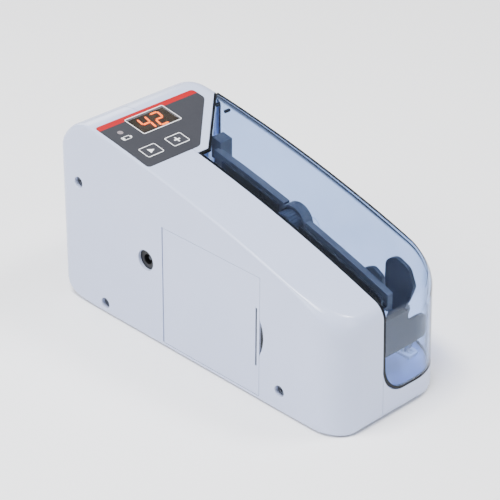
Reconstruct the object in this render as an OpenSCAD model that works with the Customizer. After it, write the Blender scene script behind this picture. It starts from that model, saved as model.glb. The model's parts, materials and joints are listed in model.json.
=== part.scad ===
// Hand-held banknote counter: a white clamshell housing with a sloping top, a clear side cover over
// the note chamber, a battery bay, a two-key control panel and a small geared feed wheel.
// Millimetres. X runs from the rear (-) to the front (+), Y from the battery side (-) to the
// clear-cover side (+), Z up. The origin is the bottom centre. Distances called "d" below run
// from the rear face, "s" across from the plane where the two housings meet.

/* [Body] */
// Overall length, rear to front
length = 200; // [195:1:250]
// Overall width
width = 82.5; // [78:0.5:110]
// Overall height, feet included
height = 104.2; // [95:0.2:130]
// Width of the battery-side housing
left_w = 30.5; // [30:0.5:34]
// Wall of both housings
wall = 2.2; // [1.8:0.1:2.6]
// How far the rubber feet stand below the base
foot_h = 0.8; // [0.4:0.1:1.5]
// Height of the front edge of the sloping top
front_h = 61.3; // [58:0.1:72]
// How far the front face leans back at its top
front_lean = 2.4; // [1:0.1:4]
// Distance of the slope's brow from the rear
brow_d = 111.3; // [100:0.1:125]
// Drop of the brow below the top
brow_drop = 12.65; // [9:0.05:16]
// Radius of the brow
brow_r = 800; // [500:10:900]
// Radius of the rear top edge
rear_top_r = 25; // [18:0.5:28]
// Radius of the rear bottom edge
rear_bottom_r = 15; // [8:0.5:17]
// Radius of the front top edge
front_top_r = 9; // [6:0.5:11]
// Radius of the front bottom edge
front_bottom_r = 3.5; // [3:0.5:6]
// Radius of the upright edges at the rear
rear_side_r = 7; // [5:0.5:9]
// Radius of the upright front edge on the battery side
front_left_r = 16.5; // [10:0.5:18]
// Radius of the upright front edge on the cover side
front_right_r = 28; // [20:0.5:30]

/* [Clear cover] */
// Wall of the clear cover
cover_t = 1.8; // [1.4:0.1:2.4]
// Gap between the cover and the housings
cover_gap = 0.25; // [0.2:0.05:0.4]
// Height of the base tray under the cover
base_h = 12.5; // [11:0.1:14]
// Radius of the cover's lower near corner on the front
cover_corner_r = 15; // [8:0.5:18]
// Where the cover's rear edge starts, from the rear
cover_near_d = 72; // [70:0.5:74]
// Length of that edge before it turns diagonal
cover_near_s = 7; // [4:0.5:9]
// Where the diagonal turns straight again near the far side, from the rear
cover_far_d = 34.5; // [33:0.5:38]
// Radius of the cover's hinge barrels
hinge_r = 2.2; // [2:0.1:2.6]
// Radius of the cover's hinge pins
hinge_pin_r = 0.9; // [0.7:0.05:1]

/* [Battery bay] */
// Rear edge of the battery door, from the rear
door_d = 78.6; // [77:0.1:80]
// Length of the battery door
door_l = 68; // [66:0.5:69]
// Bottom edge of the battery door
door_z = 3; // [2.8:0.1:4]
// Height of the battery door
door_h = 65.7; // [63:0.1:66]
// Thickness of the battery door
door_t = 2; // [1.8:0.1:2.2]
// Gap round the battery door
door_gap = 0.25; // [0.2:0.05:0.4]
// Radius of an AA cell
cell_r = 7.25; // [7:0.05:7.25]
// Length of an AA cell
cell_l = 50.5; // [49:0.1:50.5]

/* [Panel] */
// Thickness of the control panel's overlay
panel_t = 0.6; // [0.5:0.1:0.8]
// Size of each key along the slope
key_l = 8.4; // [7.5:0.1:9]
// Size of each key across the slope
key_w = 11; // [10:0.1:11.5]
// Travel of each key
key_travel = 0.4; // [0.3:0.05:0.5]
// Depth of the control board below the panel
board_depth = 9; // [8.5:0.1:10]

/* [Note feed] */
// Distance of the feed wheel's axis behind the front edge of the battery door
hub_back = 22.6; // [20:0.1:25]
// Depth of the feed wheel's axis below the slope
hub_depth = 12.6; // [12:0.1:13.5]
// Outer radius of the ring round the feed wheel
ring_r = 9.5; // [9:0.1:10]
// Radius of the feed wheel's tyre
tyre_r = 7.2; // [6.5:0.1:7.4]
// Radius of the main shaft
shaft_r = 1.5; // [1.2:0.1:1.8]
// Running clearance of a shaft in its bush, on the radius
run_gap = 0.05; // [0.03:0.01:0.08]
// Depth of the note cradle's rims below the slope
rim_depth = 6.5; // [5.5:0.1:7.5]
// Distance of the clamp jaw's middle from the front
jaw_front = 27.5; // [26:0.5:30]
// Distance of the front guide from the front
guide_front = 12; // [11:0.5:13]

/* [Gears] */
// Gear module
gear_m = 0.8; // [0.7:0.05:0.8]
// Width of the gears
gear_w = 3.5; // [2.5:0.1:3.5]
// Teeth on the motor pinion
pinion_teeth = 12; // [12:1:13]
// Teeth on the idler gear
idler_teeth = 42; // [40:1:42]
// Teeth on the output gear
output_teeth = 20; // [18:1:20]
// Radius of the motor
motor_r = 10; // [9:0.1:10]
// Length of the motor
motor_l = 17; // [14:0.5:17]

/* [Hidden] */

eps = 0.01;
hub_d = door_d + door_l - hub_back;
jaw_d = length - jaw_front;
guide_d = length - guide_front;
fit_gap = 0.15;      // clearance of pieces that sit in a recess
nest_gap = 0.3;      // clearance of the plate inside the left housing
split_y = left_w - width / 2;
side_y = -width / 2;
far_y = width / 2;
inner_y = side_y + wall;

function X(d) = d - length / 2;
function S(s) = split_y + s;

// ---- outlines -------------------------------------------------------------------------------

// Points on an arc from angle a0 to a1
function arc(c, r, a0, a1, n) =
    [for (i = [0:n]) let (a = a0 + (a1 - a0) * i / n) [c[0] + r * cos(a), c[1] + r * sin(a)]];

// An arc inset by i, which closes to the corner of the inset lines once i passes its radius
function inset_arc(c, r, i, a0, a1, n) =
    r - i > 0.3 ? arc(c, r - i, a0, a1, n)
    : let (a = (a0 + a1) / 2, q = (r - i) / cos((a1 - a0) / 2)) [c + q * [cos(a), sin(a)]];

// An outline with every corner rounded to radius r
function rounded(p, r, n = 5) = [
    for (i = [0:len(p) - 1])
        let (a = p[(i + len(p) - 1) % len(p)], b = p[i], c = p[(i + 1) % len(p)],
             u = (a - b) / norm(a - b), v = (c - b) / norm(c - b),
             half = acos(u * v) / 2, t = min(r / tan(half), norm(a - b) * 0.45, norm(c - b) * 0.45),
             rr = t * tan(half), m = (u + v) / norm(u + v), o = b + m * rr / sin(half),
             p0 = b + u * t, p1 = b + v * t,
             a0 = atan2(p0[1] - o[1], p0[0] - o[0]), a1 = atan2(p1[1] - o[1], p1[0] - o[0]),
             da = (a1 - a0 + 540) % 360 - 180)
            for (q = arc(o, rr, a0, a0 + da, n)) q
];

// The side profile: five arcs joined by straight runs, as distance from the rear and height
rear_c = [rear_top_r, height - rear_top_r];
brow = [brow_d, height - brow_drop];
front = [length - front_lean, front_h];
to_brow = brow - rear_c;
slope_1 = 90 - atan2(to_brow[1], to_brow[0]) - acos(rear_top_r / norm(to_brow));
slope_2 = atan2(brow[1] - front[1], front[0] - brow[0]);
lean = atan2(front_lean, front_h - foot_h);
along_1 = [cos(slope_1), -sin(slope_1)];
along_2 = [cos(slope_2), -sin(slope_2)];
front_t = front_top_r * tan((90 - lean - slope_2) / 2);
brow_t = min(brow_r * tan((slope_2 - slope_1) / 2), norm(to_brow) * 0.9,
             (norm(front - brow) - front_t) * 0.95);
brow_rr = brow_t / tan((slope_2 - slope_1) / 2);
brow_0 = brow - brow_t * along_1;
brow_1 = brow + brow_t * along_2;
brow_c = brow_0 - brow_rr * [sin(slope_1), cos(slope_1)];
front_c = front - front_t * along_2 - front_top_r * [sin(slope_2), cos(slope_2)];
toe_t = front_bottom_r * tan((90 + lean) / 2);
toe_c = [length - toe_t * sin(lean) - front_bottom_r * cos(lean), foot_h + front_bottom_r];
heel_c = [rear_bottom_r, foot_h + rear_bottom_r];

function profile(i) = concat(
    inset_arc(heel_c, rear_bottom_r, i, 270, 180, 8),
    inset_arc(rear_c, rear_top_r, i, 180, 90 - slope_1, 14),
    inset_arc(brow_c, brow_rr, i, 90 - slope_1, 90 - slope_2, 10),
    inset_arc(front_c, front_top_r, i, 90 - slope_2, lean, 7),
    inset_arc(toe_c, front_bottom_r, i, lean, -90, 4));

// Height and slope of the top surface at a distance from the rear
function top_z(d) =
    d < rear_c[0] + rear_top_r * sin(slope_1)
        ? rear_c[1] + sqrt(pow(rear_top_r, 2) - pow(d - rear_c[0], 2))
    : d < brow_0[0] ? brow_0[1] + (brow_0[0] - d) * tan(slope_1)
    : d < brow_1[0] ? brow_c[1] + sqrt(pow(brow_rr, 2) - pow(d - brow_c[0], 2))
    : brow_1[1] - (d - brow_1[0]) * tan(slope_2);
function top_slope(d) =
    d < brow_0[0] ? slope_1
    : d < brow_1[0] ? asin((d - brow_c[0]) / brow_rr)
    : slope_2;

// The plan outline, inset by i
function plan(i) = concat(
    arc([X(0) + rear_side_r, side_y + rear_side_r], rear_side_r - i, 180, 270, 6),
    arc([X(length) - front_left_r, side_y + front_left_r], front_left_r - i, 270, 360, 10),
    arc([X(length) - front_right_r, far_y - front_right_r], front_right_r - i, 0, 90, 14),
    arc([X(0) + rear_side_r, far_y - rear_side_r], rear_side_r - i, 90, 180, 6));

// ---- shared solids --------------------------------------------------------------------------

module profile_prism(i, y0 = side_y - 1, y1 = far_y + 1) {
    translate([X(0), y1, 0]) rotate([90, 0, 0]) linear_extrude(y1 - y0) polygon(profile(i));
}

// The outer body shrunk by i all round
module body_block(i) {
    intersection() {
        profile_prism(i);
        translate([0, 0, -1]) linear_extrude(height + 2) polygon(plan(i));
    }
}

// A box between two corners
module span(a, b) {
    translate(a) cube(b - a);
}

// A cylinder along Y between y0 and y1
module rod_y(x, z, r, y0, y1, fn = 48) {
    translate([x, y1, z]) rotate([90, 0, 0]) cylinder(r = r, h = y1 - y0, $fn = fn);
}

// A cylinder along X between x0 and x1
module rod_x(y, z, r, x0, x1, fn = 48) {
    translate([x0, y, z]) rotate([0, 90, 0]) cylinder(r = r, h = x1 - x0, $fn = fn);
}

// A band under the sloping top, between depths z0 and z1, distances d0 and d1, and s0 and s1
strip_stations = [for (d = [55:6:length + 12]) d];
module strip(d0, d1, s0, s1, z0, z1) {
    function under(d, z) = [X(d) - z * sin(top_slope(d)), top_z(d) - z * cos(top_slope(d))];
    n = len(strip_stations) - 1;
    intersection() {
        translate([0, S(s1), 0]) rotate([90, 0, 0]) linear_extrude(s1 - s0) polygon(concat(
            [for (d = strip_stations) under(d, z0)],
            [for (i = [n:-1:0]) under(strip_stations[i], z1)]));
        span([X(d0), S(s0) - 1, 0], [X(d1), S(s1) + 1, height]);
    }
}

// A vertical prism on an outline of [d, s] points, grown about its middle
module outline_prism(points, grow = 0) {
    c = [for (k = [0, 1]) (max([for (p = points) p[k]]) + min([for (p = points) p[k]])) / 2];
    h = [for (k = [0, 1]) (max([for (p = points) p[k]]) - min([for (p = points) p[k]])) / 2];
    linear_extrude(height + 2) polygon([for (p = points)
        [X(c[0] + (p[0] - c[0]) * (h[0] + grow) / h[0]),
         S(c[1] + (p[1] - c[1]) * (h[1] + grow) / h[1])]]);
}

// The part of the top skin between depths z0 and z1 that lies inside an outline
module on_skin(points, z0, z1, grow = 0) {
    intersection() {
        difference() {
            profile_prism(z0);
            profile_prism(z1);
        }
        translate([0, 0, front_h]) outline_prism(points, grow);
    }
}

// Places its children on the sloping top at [d, s], with Z along the surface's outward normal
module on_top(d, s) {
    translate([X(d), S(s), top_z(d)]) rotate([0, top_slope(d), 0]) children();
}

// The same, for all that stands on the control board, in the board's own plane
panel_mid = 48;
module on_panel(d, s) {
    translate([X(panel_mid), S(s), top_z(panel_mid)]) rotate([0, top_slope(panel_mid), 0])
        translate([(d - panel_mid) / cos(top_slope(panel_mid)), 0, 0]) children();
}

// A screw with a recessed cross, head at the origin and shank along +Z
module screw(head_r, head_h, shank_r, shank_l) {
    difference() {
        union() {
            cylinder(r = head_r, h = head_h, $fn = 32);
            cylinder(r = shank_r, h = head_h + shank_l, $fn = 24);
        }
        for (a = [0, 90])
            rotate(a) translate([-head_r * 0.6, -0.3, -eps]) cube([head_r * 1.2, 0.6, head_h * 0.6]);
    }
}

// ---- gears ----------------------------------------------------------------------------------

pressure = 20;
backlash = 0.14;
function inv(a) = tan(a) * 180 / PI - a;
function flank(teeth, r) =
    let (rp = gear_m * teeth / 2, rb = rp * cos(pressure))
        90 / teeth - backlash / rp * 90 / PI + inv(pressure)
        - (r > rb ? inv(acos(rb / r)) : 0);
function gear_points(teeth) =
    let (rp = gear_m * teeth / 2, tip = rp + 0.9 * gear_m, root = rp - 1.25 * gear_m,
         rb = max(rp * cos(pressure), root + 0.05),
         rs = [root, rb, (rb + rp) / 2, rp, (rp + tip) / 2, tip])
        [for (k = [0:teeth - 1], side = [-1, 1], j = [0:5])
            let (r = side < 0 ? rs[j] : rs[5 - j], a = 360 * k / teeth + side * flank(teeth, r))
                [r * cos(a), r * sin(a)]];

hub = [X(hub_d), top_z(hub_d) - hub_depth];
mesh_1 = gear_m * (output_teeth + idler_teeth) / 2;
mesh_2 = gear_m * (idler_teeth + pinion_teeth) / 2;
reach = 0.954 * (mesh_1 + mesh_2);      // distance from the hub to the motor's shaft
drive_dip = 12.2;    // angle at which the motor drops away from the slope
drive_tilt = atan2(top_z(hub_d) - top_z(hub_d + reach), reach);
motor_c = hub + reach * [cos(drive_tilt + drive_dip), -sin(drive_tilt + drive_dip)];
idler_dir = -drive_tilt - drive_dip
    - acos((mesh_1 * mesh_1 + reach * reach - mesh_2 * mesh_2) / (2 * mesh_1 * reach));
idler_c = hub + mesh_1 * [cos(idler_dir), sin(idler_dir)];
motor_dir = atan2(motor_c[1] - idler_c[1], motor_c[0] - idler_c[0]);
idler_turn = idler_dir + 180 - 180 / idler_teeth;
output_turn = idler_dir;
pinion_turn = motor_dir + 180 - (idler_turn - motor_dir) * idler_teeth / pinion_teeth
    - 180 / pinion_teeth;

plate_t = 2;
plate_y0 = split_y - plate_t;
gear_y1 = plate_y0 - 2.75;
gear_y0 = gear_y1 - gear_w;
motor_y1 = gear_y0 - 2;
bracket_t = 1.5;

// A point beside the motor's shaft, in axes that lie along the slope above it
function on_drive(p) = motor_c + [
    p[0] * cos(drive_tilt) + p[1] * sin(drive_tilt), p[1] * cos(drive_tilt) - p[0] * sin(drive_tilt)];

// A gear centred at c, spanning the gear layer, with a hub boss and a bore
module gear(teeth, c, turn, bore, boss_r) {
    difference() {
        union() {
            translate([c[0], gear_y1, c[1]]) rotate([90, 0, 0]) rotate(turn)
                linear_extrude(gear_w) polygon(gear_points(teeth));
            rod_y(c[0], c[1], boss_r, gear_y0, gear_y1 + 0.8);
        }
        rod_y(c[0], c[1], bore, gear_y0 - 1, gear_y1 + 2);
    }
}

// ---- housings and cover ---------------------------------------------------------------------

cover_far_s = width - left_w;
cover_turn_s = cover_far_s - 2 * hinge_r - 0.3;    // clear of the lower edge as the cover swings
mitre = 0.4;         // how far an offset's corners move along the diagonal, as a share of it
web_t = 6;           // front web that carries the base tray's raised near corner

// The space that the clear cover closes, kept g clear of the housings
module cover_zone(g) {
    d1 = length + 5;
    difference() {
        translate([0, 0, base_h + g]) linear_extrude(height) polygon([
            [X(cover_near_d) + g, S(g)], [X(cover_near_d) + g, S(cover_near_s + g * mitre)],
            [X(cover_far_d) + g, S(cover_turn_s + g * mitre)], [X(cover_far_d) + g, far_y + 5],
            [X(d1), far_y + 5], [X(d1), S(g)]]);
        // raised near corner on the front web
        difference() {
            span([X(length - web_t), S(0) - 1, 0],
                 [X(d1) + 1, S(g + cover_corner_r), base_h + g + cover_corner_r]);
            rod_x(S(g + cover_corner_r), base_h + g + cover_corner_r, cover_corner_r,
                  X(length - web_t) - 1, X(d1) + 2, 64);
        }
    }
}

door_x0 = X(door_d);
door_x1 = X(door_d + door_l);
door_z1 = door_z + door_h;

// thumb notch: a segment of a circle past the door's front edge, with a shallow dish round it
notch_w = 2.3;
notch_h = 21;
notch_r = (pow(notch_h / 2, 2) + pow(notch_w, 2)) / (2 * notch_w);
notch_z = door_z + door_h / 2;
dish_span = 9.5;
dish_depth = 0.5;
dish_r = (pow(dish_span, 2) + pow(dish_depth, 2)) / (2 * dish_depth);

screw_spots = [[15.9, 69.9], [34, foot_h + 5.4], [length - 39.7, foot_h + 11.2]];
screw_recess_r = 3;
screw_recess_l = 3.5;
plate_spots = [[75, top_z(75) - 8.5], [73, base_h - 4.5], [length - 12, top_z(length - 12) - 12.5],
    [length - 12, base_h - 4.5]];
plate_boss_r = 3;

jack_d = 66.3;
jack_z = 45.2;
jack_r = 5.6;

board_t = 1.6;
board_spots = [[49, -22.5], [35, 29]];

panel_points = rounded([[28, -28.6], [28, 36.8], [36.5, 36.8], [68.2, 4], [68.2, -29.4]], 2);
window_points = rounded([[30.5, -11.6], [30.5, 14.2], [45.8, 14.2], [45.8, -11.6]], 1);
module_points = [[31.6, -10.8], [31.6, 13.4], [44.8, 13.4], [44.8, -10.8]];
start_at = [58.2, -18.1];
add_at = [58.1, -0.8];
led_at = [38, -20.5];
led_r = 1.5;

// Cuts that the panel, its keys and its lamp need through either housing
module panel_cuts() {
    on_skin(panel_points, -1, panel_t + 0.05, fit_gap);
    translate([0, 0, height - 25]) outline_prism(module_points, fit_gap);
    for (k = [start_at, add_at])
        on_panel(k[0], k[1])
            cube([key_l + 2 * fit_gap, key_w + 2 * fit_gap, 3 * wall], center = true);
    on_panel(led_at[0], led_at[1]) cylinder(r = led_r + 0.1, h = 3 * wall, center = true, $fn = 32);
}

// Posts that hold the control board under the panel
module board_post(spot) {
    on_panel(spot[0], spot[1]) translate([0, 0, -board_depth]) difference() {
        cylinder(r = 2.4, h = board_depth - 1, $fn = 32);
        translate([0, 0, -1]) cylinder(r = 0.9, h = 6, $fn = 24);
    }
}

module left_housing() {
    color("gainsboro") difference() {
        union() {
            difference() {
                body_block(0);
                body_block(wall);
                span([X(-5), split_y, -1], [X(length + 5), far_y + 5, height + 5]);
            }
            intersection() {
                body_block(wall / 2);
                union() {
                    for (p = screw_spots)
                        rod_y(X(p[0]), p[1], 5, side_y, plate_y0 - 1);
                    for (p = plate_spots)
                        rod_y(X(p[0]), p[1], plate_boss_r, side_y, plate_y0);
                }
            }
            board_post(board_spots[0]);
        }
        // battery opening and the thumb recess beside it
        span([door_x0 - door_gap, side_y - 1, door_z - door_gap],
             [door_x1 + door_gap, inner_y + 1, door_z1 + door_gap]);
        rod_y(door_x1 + notch_w - notch_r, notch_z, notch_r, side_y - 1, inner_y + 1, 96);
        translate([door_x1, side_y + dish_depth - dish_r, notch_z]) sphere(r = dish_r, $fn = 200);
        // sockets for the door's pivots
        translate([door_x0 + door_t / 2, side_y + door_t / 2, door_z - 1.6])
            cylinder(r = 0.65, h = door_h + 3.2, $fn = 32);
        // screw recesses and holes
        for (p = screw_spots) {
            rod_y(X(p[0]), p[1], screw_recess_r, side_y - 1, side_y + screw_recess_l);
            rod_y(X(p[0]), p[1], 1.6, side_y, split_y + 1);
        }
        for (p = plate_spots) rod_y(X(p[0]), p[1], 1, plate_y0 - 9, plate_y0 + 1);
        rod_y(X(jack_d), jack_z, jack_r, side_y - 1, inner_y + 1);
        panel_cuts();
        foot_pockets();
    }
}

foot_r = 4.5;
foot_seat = 1;
foot_spots = [[22, 9], [22, width - 9], [length - 24, 11], [length - 32, width - 12]];

module foot_pockets() {
    for (p = foot_spots)
        translate([X(p[0]), side_y + p[1], foot_h - 1])
            cylinder(r = foot_r + fit_gap, h = foot_seat + 1, $fn = 48);
}

hinge_y = far_y - hinge_r;
hinge_z = base_h + cover_gap + hinge_r;
hinge_spots = [78, 142];
knuckle_l = 8;
ear_l = 5;

module right_housing() {
    color("gainsboro") difference() {
        union() {
            difference() {
                body_block(0);
                span([X(-5), side_y - 5, -1], [X(length + 5), split_y, height + 5]);
                cover_zone(0);
                // hollow of the rear block
                intersection() {
                    body_block(wall);
                    linear_extrude(height) polygon([
                        [X(-1), split_y - 1], [X(cover_near_d) - wall, split_y - 1],
                        [X(cover_near_d) - wall, S(cover_near_s - wall * mitre)],
                        [X(cover_far_d) - wall, S(cover_turn_s - wall * mitre)],
                        [X(cover_far_d) - wall, S(cover_far_s)], [X(-1), S(cover_far_s)]]);
                }
                // hollow of the base tray
                intersection() {
                    body_block(wall);
                    span([X(-1), split_y - 1, 0], [X(length), far_y, base_h - wall]);
                }
            }
            // screw bosses
            intersection() {
                body_block(wall / 2);
                union() {
                    for (i = [0, 1])
                        rod_y(X(screw_spots[i][0]), screw_spots[i][1], 3.5, split_y, far_y);
                    rod_y(X(screw_spots[2][0]), screw_spots[2][1], 3.5, split_y, S(9));
                }
            }
            // hinge ears
            for (d = hinge_spots, e = [-1, 1]) {
                x = X(d) + e * (knuckle_l / 2 + cover_gap + ear_l / 2);
                rod_x(hinge_y, hinge_z, hinge_r, x - ear_l / 2, x + ear_l / 2);
                span([x - ear_l / 2, hinge_y - hinge_r, base_h - 1], [x + ear_l / 2, far_y, hinge_z]);
            }
            board_post(board_spots[1]);
        }
        for (p = screw_spots) rod_y(X(p[0]), p[1], 1.2, split_y - 1, S(8));
        for (d = hinge_spots)
            rod_x(hinge_y, hinge_z, hinge_pin_r,
                  X(d) - knuckle_l / 2 - ear_l, X(d) + knuckle_l / 2 + ear_l);
        for (e = [-1, 1])
            translate([X(jaw_d) + e * bracket_half, S(jaw_s), base_h - 3])
                cylinder(r = 0.9, h = 4, $fn = 24);
        panel_cuts();
        foot_pockets();
    }
}

module clear_cover() {
    color("lightsteelblue", 0.5) difference() {
        union() {
            intersection() {
                difference() {
                    body_block(0);
                    body_block(cover_t);
                }
                cover_zone(cover_gap);
            }
            for (d = hinge_spots)
                rod_x(hinge_y, hinge_z, hinge_r, X(d) - knuckle_l / 2, X(d) + knuckle_l / 2);
        }
        // lower far edge rounded about the hinge axis
        difference() {
            span([X(-5), hinge_y, 0], [X(length + 5), far_y + 5, hinge_z]);
            rod_x(hinge_y, hinge_z, hinge_r, X(-6), X(length + 6), 64);
        }
        for (d = hinge_spots) {
            rod_x(hinge_y, hinge_z, hinge_pin_r + run_gap, X(d) - 6, X(d) + 6);
            for (e = [-1, 1]) {
                x = X(d) + e * (knuckle_l / 2 + cover_gap + ear_l / 2);
                span([x - ear_l / 2 - cover_gap, hinge_y - hinge_r - 1, 0],
                     [x + ear_l / 2 + cover_gap, far_y + 1, hinge_z + hinge_r + 0.4]);
            }
        }
    }
}

module cover_hinge_pins() {
    color("silver") for (d = hinge_spots)
        rod_x(hinge_y, hinge_z, hinge_pin_r,
              X(d) - knuckle_l / 2 - ear_l, X(d) + knuckle_l / 2 + ear_l);
}

// ---- mechanism plate and drive --------------------------------------------------------------

plate_d0 = cover_near_d - 1.5;
bush_r = 3;

module mechanism_plate() {
    color("whitesmoke") difference() {
        intersection() {
            profile_prism(wall + nest_gap, plate_y0, split_y);
            linear_extrude(height) polygon([for (p = plan(wall + nest_gap)) p]);
            span([X(plate_d0), plate_y0 - 1, 0], [X(length), split_y + 1, height]);
        }
        rod_y(hub[0], hub[1], bush_r, plate_y0 - 1, split_y + 1);
        rod_y(idler_c[0], idler_c[1], shaft_r, plate_y0 - 1, split_y + 1);
        for (p = plate_spots) rod_y(X(p[0]), p[1], 1.2, plate_y0 - 1, split_y + 1);
        for (p = motor_posts) rod_y(p[0], p[1], 0.9, plate_y0 - 1, split_y + 1);
        for (p = cradle_spots) rod_y(X(p), cradle_screw_z(p), 0.9, plate_y0 - 1, split_y + 1);
        rod_y(X(screw_spots[2][0]), screw_spots[2][1], 5.2, plate_y0 - 1, split_y + 1);
    }
}

module shaft_bush() {
    color("goldenrod") difference() {
        union() {
            rod_y(hub[0], hub[1], bush_r, plate_y0, split_y);
            rod_y(hub[0], hub[1], bush_r + 1, split_y, S(1));
        }
        rod_y(hub[0], hub[1], shaft_r + run_gap, plate_y0 - 1, S(2));
    }
}

module main_shaft() {
    color("silver") rod_y(hub[0], hub[1], shaft_r, gear_y0 - 0.5, S(17.5));
}

module output_gear() {
    color("white") gear(output_teeth, hub, output_turn, shaft_r, 3.2);
}

module idler_gear() {
    color("white") gear(idler_teeth, idler_c, idler_turn, shaft_r + run_gap, 4);
}

module idler_axle() {
    color("silver") {
        rod_y(idler_c[0], idler_c[1], shaft_r, gear_y0 - 0.3, split_y);
        rod_y(idler_c[0], idler_c[1], 2.6, gear_y0 - 1.2, gear_y0 - 0.3);
    }
}

motor_shaft_r = 1;
motor_screw_z = 7.6;
motor_screw_holes = [for (e = [-1, 1]) on_drive([0, e * motor_screw_z])];
motor_posts = [for (p = [[11, 0], [8, -13], [-3, -14.5]]) on_drive(p)];

module motor_pinion() {
    color("goldenrod") {
        gear(pinion_teeth, motor_c, pinion_turn, motor_shaft_r, 2.6);
        rod_y(motor_c[0], motor_c[1], motor_shaft_r, motor_y1 - 1.2, gear_y1 + 0.8);
    }
}

module motor() {
    color("darkgray") difference() {
        union() {
            rod_y(motor_c[0], motor_c[1], motor_r, motor_y1 - motor_l, motor_y1, 64);
            rod_y(motor_c[0], motor_c[1], 3, motor_y1, motor_y1 + bracket_t);
        }
        rod_y(motor_c[0], motor_c[1], motor_shaft_r + run_gap, motor_y1 - 1.5, motor_y1 + 3);
        for (p = motor_screw_holes) rod_y(p[0], p[1], 0.8, motor_y1 - 3, motor_y1 + 1);
    }
}

module motor_bracket() {
    y0 = motor_y1;
    color("silver") difference() {
        union() {
            translate([motor_c[0], y0, motor_c[1]]) rotate([0, drive_tilt, 0])
                span([-6, 0, -17.5], [14, bracket_t, 10.5]);
            for (p = motor_posts) rod_y(p[0], p[1], 2.4, y0, plate_y0);
        }
        rod_y(motor_c[0], motor_c[1], 3 + run_gap, y0 - 1, y0 + 3);
        for (p = motor_screw_holes) rod_y(p[0], p[1], 1, y0 - 1, y0 + 3);
        for (p = motor_posts) rod_y(p[0], p[1], 0.9, plate_y0 - 5, plate_y0 + 1);
    }
}

module motor_screws() {
    color("silver") {
        for (p = motor_posts)
            translate([p[0], S(1), p[1]]) rotate([90, 0, 0]) screw(1.9, 1, 0.9, 6);
        for (p = motor_screw_holes)
            translate([p[0], motor_y1 + bracket_t + 0.9, p[1]]) rotate([90, 0, 0])
                screw(1.5, 0.9, 0.8, 3.5);
    }
}

// ---- note cradle and jaws -------------------------------------------------------------------

ring_s0 = 13;
ring_s1 = 19;
cradle_spots = [hub_d - 36, hub_d - 20, hub_d + 16, hub_d + 34];
cradle_floor = 14;
rear_rim_d = cover_near_d - 4;
front_rim_d = length - 13;
guide_web = 7;       // how far the guide's mounting web runs back from it
floor_end_d = guide_d - guide_web - 0.5;
function cradle_screw_z(d) = top_z(d) - (cradle_floor + 2.2) / cos(top_slope(d));

module note_cradle() {
    color("dimgray") difference() {
        union() {
            strip(rear_rim_d + 8, floor_end_d, 0, 12.7, cradle_floor - 2, cradle_floor);
            strip(rear_rim_d + 8, floor_end_d, 0, 2, cradle_floor - 2, cradle_floor + 4.5);
            strip(rear_rim_d + 9, hub_d - 8, 11.5, 12.7, rim_depth, cradle_floor);
            strip(hub_d + 8, front_rim_d - 1, 10.5, 11.7, rim_depth + 1, cradle_floor);
            strip(rear_rim_d, hub_d - 7, 15, ring_s1, rim_depth, cradle_floor);
            strip(rear_rim_d + 1.5, hub_d - 7, 11.5, ring_s1, cradle_floor - 1.5, cradle_floor);
            strip(hub_d + 7, front_rim_d, 14, 17.5, rim_depth, cradle_floor + 1);
            strip(hub_d + 7, front_rim_d, 10.5, 17.5, cradle_floor - 1.5, cradle_floor);
            strip(rear_rim_d - 5, rear_rim_d + 1.5, 18, 26, 3, cradle_floor);
            rod_y(hub[0], hub[1], ring_r, S(ring_s0), S(ring_s1), 64);
        }
        rod_y(hub[0], hub[1], ring_r - 1.4, S(-1), S(ring_s1 - 1), 64);
        rod_y(hub[0], hub[1], shaft_r + 0.3, S(0), S(ring_s1 + 1));
        for (p = cradle_spots) rod_y(X(p), cradle_screw_z(p), 1.1, S(-1), S(3));
    }
}

module cradle_screws() {
    color("silver") for (p = cradle_spots)
        translate([X(p), S(3), cradle_screw_z(p)]) rotate([90, 0, 0]) screw(1.9, 1, 0.9, 4);
}

module feed_wheel() {
    color("slategray") difference() {
        union() {
            rod_y(hub[0], hub[1], tyre_r - 1.6, S(6), S(16.5));
            rod_y(hub[0], hub[1], tyre_r - 0.2, S(14.5), S(16.5));
            rod_y(hub[0], hub[1], 3.4, S(2), S(6));
        }
        rod_y(hub[0], hub[1], shaft_r, S(1), S(18));
    }
}

knurls = 24;
module feed_tyre() {
    color("black") difference() {
        rod_y(hub[0], hub[1], tyre_r, S(7), S(14.5), 64);
        rod_y(hub[0], hub[1], tyre_r - 1.6, S(6), S(15.5));
        for (k = [0:knurls - 1])
            translate([hub[0], 0, hub[1]]) rotate([0, 360 * k / knurls, 0])
                rod_y(tyre_r, 0, 0.35, S(6), S(15.5), 16);
    }
}

jaw_s = 38.5;
jaw_t = 2.4;
jaw_pivot_z = base_h + 5.2;
jaw_pin_r = 1;
jaw_eye_r = 2.6;
arm_half = 4.5;      // half the width of the jaw's arm
ear_half = 0.9;      // half the thickness of the bracket's ears
bracket_half = 9.5;
jaw_top = top_z(jaw_d) - 7;

module fixed_jaw() {
    d0 = jaw_d - 5.5;
    d1 = jaw_d + 7.5;
    foot_z = top_z(d1) - cradle_floor - 0.8;
    outline = rounded([[d0, foot_z], [d0 + 1, top_z(d0) - 8], [d0 + 7, top_z(d0 + 7) - 2.9],
        [d1, top_z(d1) - 4], [d1 + 1.2, foot_z]], 3.5, 6);
    color("dimgray") translate([0, S(17.5 + jaw_t), 0]) rotate([90, 0, 0])
        linear_extrude(jaw_t) polygon([for (p = outline) [X(p[0]), p[1]]]);
}

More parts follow.
